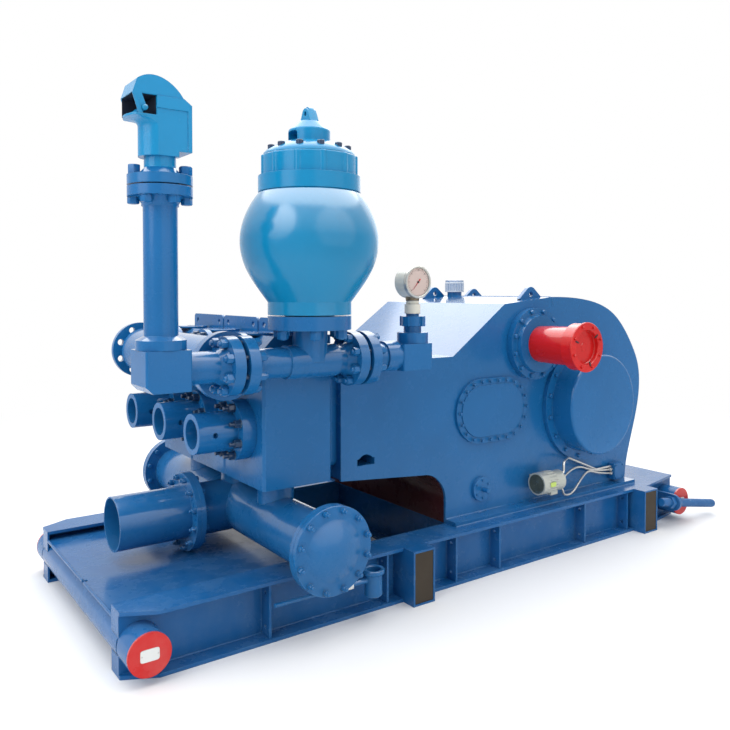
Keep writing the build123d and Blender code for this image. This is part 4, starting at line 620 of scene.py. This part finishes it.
# dark ring on the gauge neck under the dial: a brass part, darkened further as painted shade
gaugeSocket = {"axis": (-0.583, -0.905), "radius": 0.0425, "inner": 0.036, "low": 1.846, "high": 1.872}
rim, inner, low, high = (gaugeSocket[key] for key in ("radius", "inner", "low", "high"))
rows = roundRows([(inner, low), (rim, low), (rim, high), (inner, high), (inner, low)])
makePiece("gauge_socket", *turnedPoints(rows, (*gaugeSocket["axis"], 0.0), (0, 0, 1), 0, 48), "gaugeSocket",
          "gauge_cream")
print("gauge dressed")

# bare label plates on the end discs of the cross pipes, each held by two rivets
labelPlates = {"places": ((-2.250, -0.962, 0.157), (2.250, -0.962, 0.157), (-2.250, 0.962, 0.157),
                          (2.250, 0.962, 0.157)), "half": (0.048, 0.031), "thickness": 0.0016,
               "rivet": 0.0035, "rivetReach": 0.040}
parts, rivets = [], []
for place in labelPlates["places"]:
    out = (0, math.copysign(1, place[1]), 0)
    parts.append(platePoints(place, out, *labelPlates["half"], labelPlates["thickness"]))
    reach = np.array([(-1, 0, 0), (1, 0, 0)]) * labelPlates["rivetReach"]
    spots = np.array(place) + reach + np.array(out) * labelPlates["thickness"]
    r = labelPlates["rivet"]
    rivets.append(turnedPoints(roundRows([(0, 0), (r, 0), (r * 0.8, 0.0014), (0, 0.002)]), spots, out, 0, 12))
makePiece("label_plates", *joined(*parts), "palePlate", "guard_red")
makePiece("label_rivets", *joined(*rivets), "tube_steel", "guard_red")
print("label plates laid")

# weld beads of the skid and the frame
skidWelds = {"railWeb": 0.799, "flangeFace": 0.020, "topFlangeUnder": 0.314, "half": 2.33, "width": 0.012,
             "stiffeners": (-1.56, -0.76, -0.199, 0.199, 1.10, 1.62), "stiffenerHalf": 0.008, "ripple": 0.013,
             "webRun": (0.03, 0.304), "webWidth": 0.009, "webRipple": 0.011}
parts = []
for sign in (-1, 1):
    y = sign * (skidWelds["railWeb"] + 0.001)
    for height in (skidWelds["flangeFace"], skidWelds["topFlangeUnder"]):
        parts.append(beadPoints([(-skidWelds["half"], y, height), (skidWelds["half"], y, height)],
                                skidWelds["width"], skidWelds["ripple"], 6))
    for x in skidWelds["stiffeners"]:
        for side in (-1, 1):
            at = x + side * skidWelds["stiffenerHalf"]
            parts.append(beadPoints([(at, y, height) for height in skidWelds["webRun"]],
                                    skidWelds["webWidth"], skidWelds["webRipple"], 6, (1, 0, 0)))
makePiece("skid_welds", *joined(*parts), "skid_blue", "skid_blue")
frameWelds = {"footY": 0.790, "footTop": 0.362, "railTop": 0.334, "wallY": 0.690, "heelX": -0.110,
              "tailX": 1.856, "seamX": 0.952, "seamTop": 1.861, "seamLow": 1.790, "width": 0.012,
              "ripple": 0.013, "seamWidth": 0.008, "seamRipple": 0.012}
parts = []
for sign in (-1, 1):
    for reach, height in (("footY", "railTop"), ("wallY", "footTop")):
        y, z = sign * frameWelds[reach], frameWelds[height]
        parts.append(beadPoints([(frameWelds["heelX"], y, z), (frameWelds["tailX"], y, z)],
                                frameWelds["width"], frameWelds["ripple"], 6))
w, h = frameWelds["wallY"], frameWelds["seamTop"]
x, low = frameWelds["seamX"], frameWelds["seamLow"]
path = [(x, -w, low), (x, -w, h - 0.016), (x, -w + 0.005, h - 0.005), (x, -w + 0.016, h), (x, w - 0.016, h),
        (x, w - 0.005, h - 0.005), (x, w, h - 0.016), (x, w, low)]
parts.append(beadPoints(path, frameWelds["seamWidth"], frameWelds["seamRipple"], 6, (1, 0, 0)))
makePiece("frame_welds", *joined(*parts))
print("weld beads run")

# breather: a ribbed pale cap over its base, radius R (1 + a cos n t)
breatherCap = {"centre": (1.000, 0.450), "radius": 0.081, "rib": 0.030, "ribs": 28, "steps": 224}
low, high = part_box("breather")
t = np.linspace(0, 2 * np.pi, breatherCap["steps"], endpoint=False)
flute = 1 + breatherCap["rib"] * np.cos(breatherCap["ribs"] * t)
capBase = low[2] + 0.036
height = high[2] - capBase
profile = np.array([(0.0, 0.0, 0), (1.0, 0.0, 0), (1.02, 0.06, 0), (1.0, 0.12, 1), (1.0, 0.72, 1),
                    (1.02, 0.76, 0), (1.02, 0.86, 0), (0.94, 0.98, 0), (0.55, 1.04, 0), (0.0, 1.06, 0)])
radius = breatherCap["radius"] * profile[:, :1] * np.where(profile[:, 2:] > 0, flute[None], 1.0)
x, y = (middle + radius * swing for middle, swing in zip(breatherCap["centre"], (np.cos(t), np.sin(t))))
z = np.broadcast_to(capBase + height * profile[:, 1:2], radius.shape)
points = np.stack([x, y, z], -1)
makePiece("breather_cap", points, gridFaces(len(profile), breatherCap["steps"]), "paleCap", "pump_blue", 50)
print("breather capped")

# lube motor: a sleeve of axial fins of radius r + a |cos(n t)|^3 and a bare tag; the lid and screws of the
# box beside it
motor = {"axis": (-0.815, 0.512), "start": 0.672, "end": 0.800, "radius": 0.075, "fin": 0.006, "fins": 20,
         "steps": 240, "tagPlace": (0.735, -0.8965, 0.512), "tagHalf": (0.030, 0.017),
         "tagThickness": 0.0012, "lidHalf": (0.054, 0.059), "lidThickness": 0.004, "screwInset": 0.010,
         "screwSize": 0.009}
t = np.linspace(0, 2 * np.pi, motor["steps"], endpoint=False)
wave = motor["radius"] + motor["fin"] * np.abs(np.cos(motor["fins"] / 2 * t)) ** 3
stations = np.array([(0.0, 0.0), (0.90, 0.0), (1.0, 0.04), (1.0, 0.96), (0.90, 1.0), (0.0, 1.0)])
radius = stations[:, :1] * wave[None]
x = np.broadcast_to(motor["start"] + (motor["end"] - motor["start"]) * stations[:, 1:2], radius.shape)
y, z = (middle + radius * swing for middle, swing in zip(motor["axis"], (np.cos(t), np.sin(t))))
points = np.stack([x, y, z], -1)
makePiece("motor_fins", points, gridFaces(len(stations), motor["steps"]), "motor_grey", "motor_grey", 40)
makePiece("motor_tag", *platePoints(motor["tagPlace"], (0, -1, 0), *motor["tagHalf"], motor["tagThickness"]),
          "tagGreen", "motor_grey")
low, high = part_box("junction_box")
lid = ((low[0] + high[0]) / 2, low[1], (low[2] + high[2]) / 2)
makePiece("box_lid", *platePoints(lid, (0, -1, 0), *motor["lidHalf"], motor["lidThickness"], 12.0),
          "pump_blue", "motor_grey")
reachX, reachZ = (half - motor["screwInset"] for half in motor["lidHalf"])
spots = np.array([(lid[0] + a * reachX, lid[1] - motor["lidThickness"], lid[2] + b * reachZ)
                  for a in (-1, 1) for b in (-1, 1)])
bolts("box_screws", [(spots, (0, -1, 0))], motor["screwSize"], "pump_blue", "tube_steel")
print("lube motor dressed")

# jack screw's thread: a round ridge that climbs one pitch per turn round the slanting bar
thread = {"through": (2.060, -1.012, 0.190), "droop": 10.0, "radius": 0.0305, "ridge": 0.0034, "pitch": 0.013,
          "runs": ((-0.165, -0.045), (0.075, 0.575)), "perTurn": 18}
droop = math.radians(thread["droop"])
along = np.array([math.cos(droop), 0, -math.sin(droop)])
parts = []
for start, end in thread["runs"]:
    turns = (end - start) / thread["pitch"]
    t = np.linspace(0, 2 * np.pi * turns, int(turns * thread["perTurn"]))[:, None]
    _, first, second = basis(along)
    path = (np.array(thread["through"]) + along * (start + thread["pitch"] * t / (2 * np.pi))
            + thread["radius"] * (np.cos(t) * first + np.sin(t) * second))
    parts.append(tubePoints(path, thread["ridge"], 6, tuple(along)))
makePiece("jack_thread", *joined(*parts), "skid_blue", "skid_blue")
print("jack screw threaded")

# shaft guards: a slightly flared sleeve, a thicker collar and an end ring round a sunk disc, with screws in
# the ring
guard = {"centre": (0.727, 1.520), "start": 0.772, "collar": 1.084, "tip": 1.190, "root": 0.131,
         "flare": 0.139, "collarRadius": 0.163, "rim": 0.172, "rimThickness": 0.014, "opening": 0.118,
         "sunk": 0.034, "screws": 8, "screwCircle": 0.146, "screwSize": 0.016,
         "hookAngles": (38.0, 160.0, 283.0), "hookHalf": (0.017, 0.0045, 0.0035)}
g = guard
low = g["tip"] - g["sunk"]
profile = [
    (g["root"], g["start"]), (g["root"] + 0.004, g["start"] + 0.10),
    (g["flare"] - 0.002, g["collar"] - 0.06), (g["flare"], g["collar"] - 0.004),
    (g["flare"] + 0.004, g["collar"]), (g["collarRadius"] - 0.005, g["collar"] + 0.002),
    (g["collarRadius"], g["collar"] + 0.007), (g["collarRadius"], g["tip"] - g["rimThickness"]),
    (g["rim"] - 0.003, g["tip"] - g["rimThickness"]), (g["rim"], g["tip"] - g["rimThickness"] + 0.003),
    (g["rim"], g["tip"] - 0.004), (g["rim"] - 0.004, g["tip"]), (g["opening"] + 0.004, g["tip"]),
    (g["opening"], g["tip"] - 0.004), (g["opening"], low + 0.004), (g["opening"] - 0.004, low),
    (0.030, low), (0.026, low + 0.004)]
rows = roundRows([(0, g["start"]), *profile, (0, low + 0.004)])
sides = (-1, 1)
centre = (g["centre"][0], 0.0, g["centre"][1])
parts = [turnedPoints(rows, centre, (0, k, 0), 0, 96) for k in sides]
guardPiece = makePiece("guard_sleeves", *joined(*parts), "guard_red", "guard_red", 40)
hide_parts("shaft_guards")
bolts("guard_screws", [(circlePlaces((g["centre"][0], k * g["tip"], g["centre"][1]), (0, k, 0),
                                     g["screwCircle"], g["screws"], 20), (0, k, 0)) for k in sides],
      g["screwSize"], "guard_red", "guard_red")
# spring hooks that hold the sunk disc: short dark bars over the edge of the opening
hooks = []
for k in sides:
    t = np.radians(np.array(g["hookAngles"]))
    out = np.stack([np.cos(t), np.zeros_like(t), np.sin(t)], 1)
    across = np.stack([-np.sin(t), np.zeros_like(t), np.cos(t)], 1)
    spots = np.array([g["centre"][0], k * (g["tip"] + 0.0005), g["centre"][1]]) + out * g["opening"]
    halfLong, halfWide, halfThick = g["hookHalf"]
    hooks.append(blockPoints(spots, out * halfLong, across * halfWide, [(0, halfThick, 0)] * len(t)))
makePiece("guard_hooks", *joined(*hooks), "blackRubber", "guard_red")
print("shaft guards built")

# lifting ears on the frame roof
ears = {"places": ((0.845, -0.560, 1.880), (0.857, 0.560, 1.881), (1.331, 0.560, 1.868)), "radius": 0.058,
        "hole": 0.019, "footHalf": 0.132, "drop": 0.036, "thickness": 0.034}
parts = [humpPoints(place, (1, 0, 0), ears["radius"], ears["hole"], ears["footHalf"], ears["drop"],
                    ears["thickness"]) for place in ears["places"]]
earPiece = makePiece("lifting_ears", *joined(*parts), sharp=28)
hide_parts("frame_lifting_ears")
print("lifting ears built")

# valve covers: low screwed discs with a square-edged hollow for the key
valveCovers = {"x": -1.420, "pitch": 0.509, "z": 1.650, "radius": 0.105, "height": 0.014, "hollow": 0.034,
               "depth": 0.010}
r, top, hollow = valveCovers["radius"], valveCovers["height"], valveCovers["hollow"]
low = top - valveCovers["depth"]
rows = roundRows([(0, 0), (r, 0), (r, top - 0.003), (r - 0.003, top), (hollow * 1.5, top)])
rows += [(hollow, hollow * 1.15, top), (hollow, hollow * 1.15, low), (0, 0, low)]
spots = np.array([(valveCovers["x"], k * valveCovers["pitch"], valveCovers["z"]) for k in (-1, 0, 1)])
coverPiece = makePiece("valve_cover_discs", *turnedPoints(rows, spots, (0, 0, 1), 6, 48, 5))
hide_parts("valve_covers")
print("valve covers laid")

# blind suction ends: a flange with a domed middle, which stands sqrt(R^2 - r^2) - sqrt(R^2 - a^2) above the
# face at radius r, for a dome of radius a cut from a sphere of radius R
suctionEnds = {"x": -1.317, "y": 1.152, "z": 0.522, "radius": 0.2415, "thickness": 0.030,
               "domeRadius": 0.168, "rise": 0.046}
r, a, rise = suctionEnds["radius"], suctionEnds["domeRadius"], suctionEnds["rise"]
sphere = (a * a + rise * rise) / (2 * rise)
rings = np.linspace(a, 0.001, 14)
heights = np.sqrt(sphere ** 2 - rings ** 2) - math.sqrt(sphere ** 2 - a * a)
back = -suctionEnds["thickness"]
rows = roundRows([(0, back), (r - 0.002, back), (r, back + 0.002), (r, -0.002), (r - 0.002, 0),
                  (a + 0.004, 0), *zip(rings, heights), (0, rise)])
endX, endY, endZ = (suctionEnds[key] for key in ("x", "y", "z"))
ends = [turnedPoints(rows, (endX, side * endY, endZ), (0, side, 0), 0, 96) for side in (-1, 1)]
endPiece = makePiece("suction_heads", *joined(*ends))
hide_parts("suction_covers")
print("suction ends laid")

# drain valve: a flared cup on a neck from the rail, with a bright gland nut, a spindle and a long lever
drainValve = {"centre": (-0.925, -0.968, 0.132), "radius": 0.052, "rim": 0.066, "height": 0.158,
              "neck": 0.026, "reach": 0.169, "gland": 0.185, "spindle": 0.014, "lever": 0.011,
              "leverEnd": -1.575, "leverZ": 0.230}
cx, cy, cz = drainValve["centre"]
r, rim, top = drainValve["radius"], drainValve["rim"], drainValve["height"]
cup = turnedPoints(
    roundRows([(0, 0), (r - 0.008, 0), (r, 0.008), (r, top - 0.034), (rim, top - 0.022),
               (rim, top - 0.004), (rim - 0.004, top), (r - 0.006, top), (r - 0.010, top - 0.006),
               (r - 0.010, top - 0.060), (0, top - 0.060)]), (cx, cy, cz), (0, 0, 1), 0, 48)
middle, height = cz + top / 2, drainValve["leverZ"]
neck = tubePoints(np.linspace((cx, cy, middle), (cx, cy + drainValve["reach"], middle), 12),
                  drainValve["neck"], 24)
nutX = cx - drainValve["gland"]
spindle = tubePoints(np.linspace((cx, cy, height), (nutX - 0.03, cy, height), 12), drainValve["spindle"], 20)
lever = tubePoints(np.linspace((nutX - 0.02, cy, height), (drainValve["leverEnd"], cy, height), 40),
                   drainValve["lever"], 16)
drainPiece = makePiece("drain_cup", *joined(cup, neck, spindle, lever))
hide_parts("drain_valve")
gland = [(0, 0, 0), (0.025, 0.028, 0), (0.025, 0.028, 0.036), (0.022, 0.024, 0.040), (0, 0, 0.040)]
makePiece("drain_gland", *turnedPoints(gland, (nutX + 0.03, cy, height), (-1, 0, 0), 6, 24, 3),
          "palePlate", "pump_blue")
print("drain valve laid")

# front deck's edge: a half-sunk round bar, open at the drain notch
deckEdge = {"x": -2.343, "z": 0.277, "radius": 0.0055, "runs": ((-0.770, -0.168), (-0.132, 0.770))}
parts = [tubePoints(np.linspace((deckEdge["x"], a, deckEdge["z"]), (deckEdge["x"], b, deckEdge["z"]), 24),
                    deckEdge["radius"], 12) for a, b in deckEdge["runs"]]
makePiece("deck_edge_bar", *joined(*parts), "skid_blue", "skid_blue")


# smooth path through a few points: corners cut again and again, each time at a quarter of the run
def softPath(points, rounds=4):
    path = np.asarray(points, float)
    for _ in range(rounds):
        cut = np.stack([0.75 * path[:-1] + 0.25 * path[1:], 0.25 * path[:-1] + 0.75 * path[1:]],
                       1).reshape(-1, 3)
        path = np.concatenate([path[:1], cut, path[-1:]])
    return path


# lube motor's hoses and fittings, and the fan's grille
lubeBits = {
    "hoses": (((0.870, -0.815, 0.455), (0.925, -0.820, 0.440), (0.945, -0.815, 0.380),
               (1.060, -0.800, 0.372), (1.200, -0.770, 0.460), (1.330, -0.735, 0.500),
               (1.470, -0.722, 0.455), (1.642, -0.722, 0.430)),
              ((0.870, -0.790, 0.470), (0.960, -0.790, 0.470), (1.010, -0.770, 0.520),
               (1.180, -0.750, 0.560), (1.360, -0.725, 0.500), (1.500, -0.720, 0.470),
               (1.642, -0.720, 0.462))), "radius": 0.0085, "nutSize": 0.026,
    "grille": (0.6468, -0.815, 0.512), "grilleRings": 6, "grilleStep": 0.0105}
parts = [tubePoints(softPath(points), lubeBits["radius"], 12) for points in lubeBits["hoses"]]
makePiece("lube_hoses", *joined(*parts), "tube_steel", "tube_steel")
starts = [(points[0], (1, 0, 0)) for points in lubeBits["hoses"]]
ends = [(points[-1], (-1, 0, 0)) for points in lubeBits["hoses"]]
bolts("hose_nuts", starts + ends, lubeBits["nutSize"], "tube_steel", "tube_steel")
step = lubeBits["grilleStep"]
ridges = [(step * (i + share), level) for i in range(lubeBits["grilleRings"])
          for share, level in ((0.45, 0.0026), (0.95, 0.0026), (1.0, 0.0004), (1.4, 0.0004))]
rows = roundRows([(0, -0.001), *ridges, (step * (lubeBits["grilleRings"] + 0.9), -0.001), (0, -0.001)])
makePiece("motor_grille", *turnedPoints(rows, lubeBits["grille"], (-1, 0, 0), 0, 64), "grilleDark",
          "motor_grey")
print("lube motor plumbed")

# floor, light and camera
stageLook = {
    "floorSize": 60.0, "floorColour": (0.86, 0.86, 0.86), "floorRoughness": 0.9, "world": 0.36,
    "fadeStart": 3.6, "fadeEnd": 8.0, "lamps": (((-9.0, -1.8, 6.0), 8.0, 520.0),
                                                ((0.5, 1.0, 9.0), 16.0, 1350.0),
                                                ((2.0, -12.0, 5.5), 16.0, 620.0),
                                                ((7.0, 5.0, 6.5), 10.0, 200.0)), "target": (0.0, 0.0, 1.0)}
size = stageLook["floorSize"]
floorMesh = bpy.data.meshes.new("floor")
floorMesh.from_pydata([(-size, -size, 0), (size, -size, 0), (size, size, 0), (-size, size, 0)], [],
                      [(0, 1, 2, 3)])
floor = bpy.data.objects.new("floor", floorMesh)
bpy.context.scene.collection.objects.link(floor)
floorMaterial = bpy.data.materials.new("floorPale")
floorMaterial.use_nodes = True
floorPaint = floorMaterial.node_tree.nodes["Principled BSDF"]
floorPaint.inputs["Base Color"].default_value = (*stageLook["floorColour"], 1)
floorPaint.inputs["Roughness"].default_value = stageLook["floorRoughness"]
floorMesh.materials.append(floorMaterial)
# the floor turns to the plain white of the background with distance, so no horizon shows
tree = floorMaterial.node_tree
place = shaderNode(tree, "TexCoord").outputs["Object"]
far = shaderNode(tree, "VectorMath", {0: place}, operation="LENGTH").outputs["Value"]
away = shaderNode(tree, "MapRange", {0: far, 1: stageLook["fadeStart"], 2: stageLook["fadeEnd"]},
                  interpolation_type="SMOOTHSTEP").outputs[0]
plainFloor = shaderNode(tree, "Emission", {0: (1.0, 1.0, 1.0, 1.0), 1: 1.0})
rays = shaderNode(tree, "LightPath").outputs
seenFloor = mathValue(tree, "MAXIMUM", rays["Is Camera Ray"], rays["Is Glossy Ray"])
seenFloor = mathValue(tree, "MAXIMUM", seenFloor, rays["Is Transmission Ray"])
away = mathValue(tree, "MULTIPLY", away, seenFloor)
blend = shaderNode(tree, "MixShader", {0: away, 1: floorPaint.outputs[0], 2: plainFloor.outputs[0]})
tree.links.new(blend.outputs[0], tree.nodes["Material Output"].inputs[0])
for place, width, power in stageLook["lamps"]:
    lamp = bpy.data.lights.new("softLamp", "AREA")
    lamp.shape = "DISK"
    lamp.size = width
    lamp.energy = power
    thing = bpy.data.objects.new("softLamp", lamp)
    thing.location = place
    thing.rotation_euler = (Vector(stageLook["target"]) - Vector(place)).to_track_quat("-Z", "Y").to_euler()
    bpy.context.scene.collection.objects.link(thing)
world = bpy.data.worlds.new("studio")
world.use_nodes = True
tree = world.node_tree
tree.nodes.clear()
path = shaderNode(tree, "LightPath")
seen = mathValue(tree, "MAXIMUM", path.outputs["Is Camera Ray"], path.outputs["Is Glossy Ray"])
seen = mathValue(tree, "MAXIMUM", seen, path.outputs["Is Transmission Ray"])
ambient = shaderNode(tree, "Background", {0: (0.92, 0.96, 1.0, 1.0), 1: stageLook["world"]})
plain = shaderNode(tree, "Background", {0: (1.0, 1.0, 1.0, 1.0), 1: 1.0})
mixed = shaderNode(tree, "MixShader", {0: seen, 1: ambient.outputs[0], 2: plain.outputs[0]})
tree.links.new(mixed.outputs[0], shaderNode(tree, "OutputWorld").inputs[0])
bpy.context.scene.world = world

view = {"place": (-3.463, -4.434, 1.907), "ahead": (0.5816, 0.8135), "pitch": -1.37, "lens": 36.66,
        "shift": -0.0773}
camera = bpy.data.cameras.new("camera")
camera.lens = view["lens"]
camera.sensor_width = 36.0
camera.shift_y = view["shift"]
camera.dof.use_dof = False
cameraObject = bpy.data.objects.new("camera", camera)
cameraObject.location = view["place"]
tilt = math.radians(view["pitch"])
look = Vector((view["ahead"][0] * math.cos(tilt), view["ahead"][1] * math.cos(tilt), math.sin(tilt)))
cameraObject.rotation_euler = look.to_track_quat("-Z", "Y").to_euler()
bpy.context.scene.collection.objects.link(cameraObject)
bpy.context.scene.camera = cameraObject
bpy.context.scene.view_settings.view_transform = "Standard"
print("stage set")
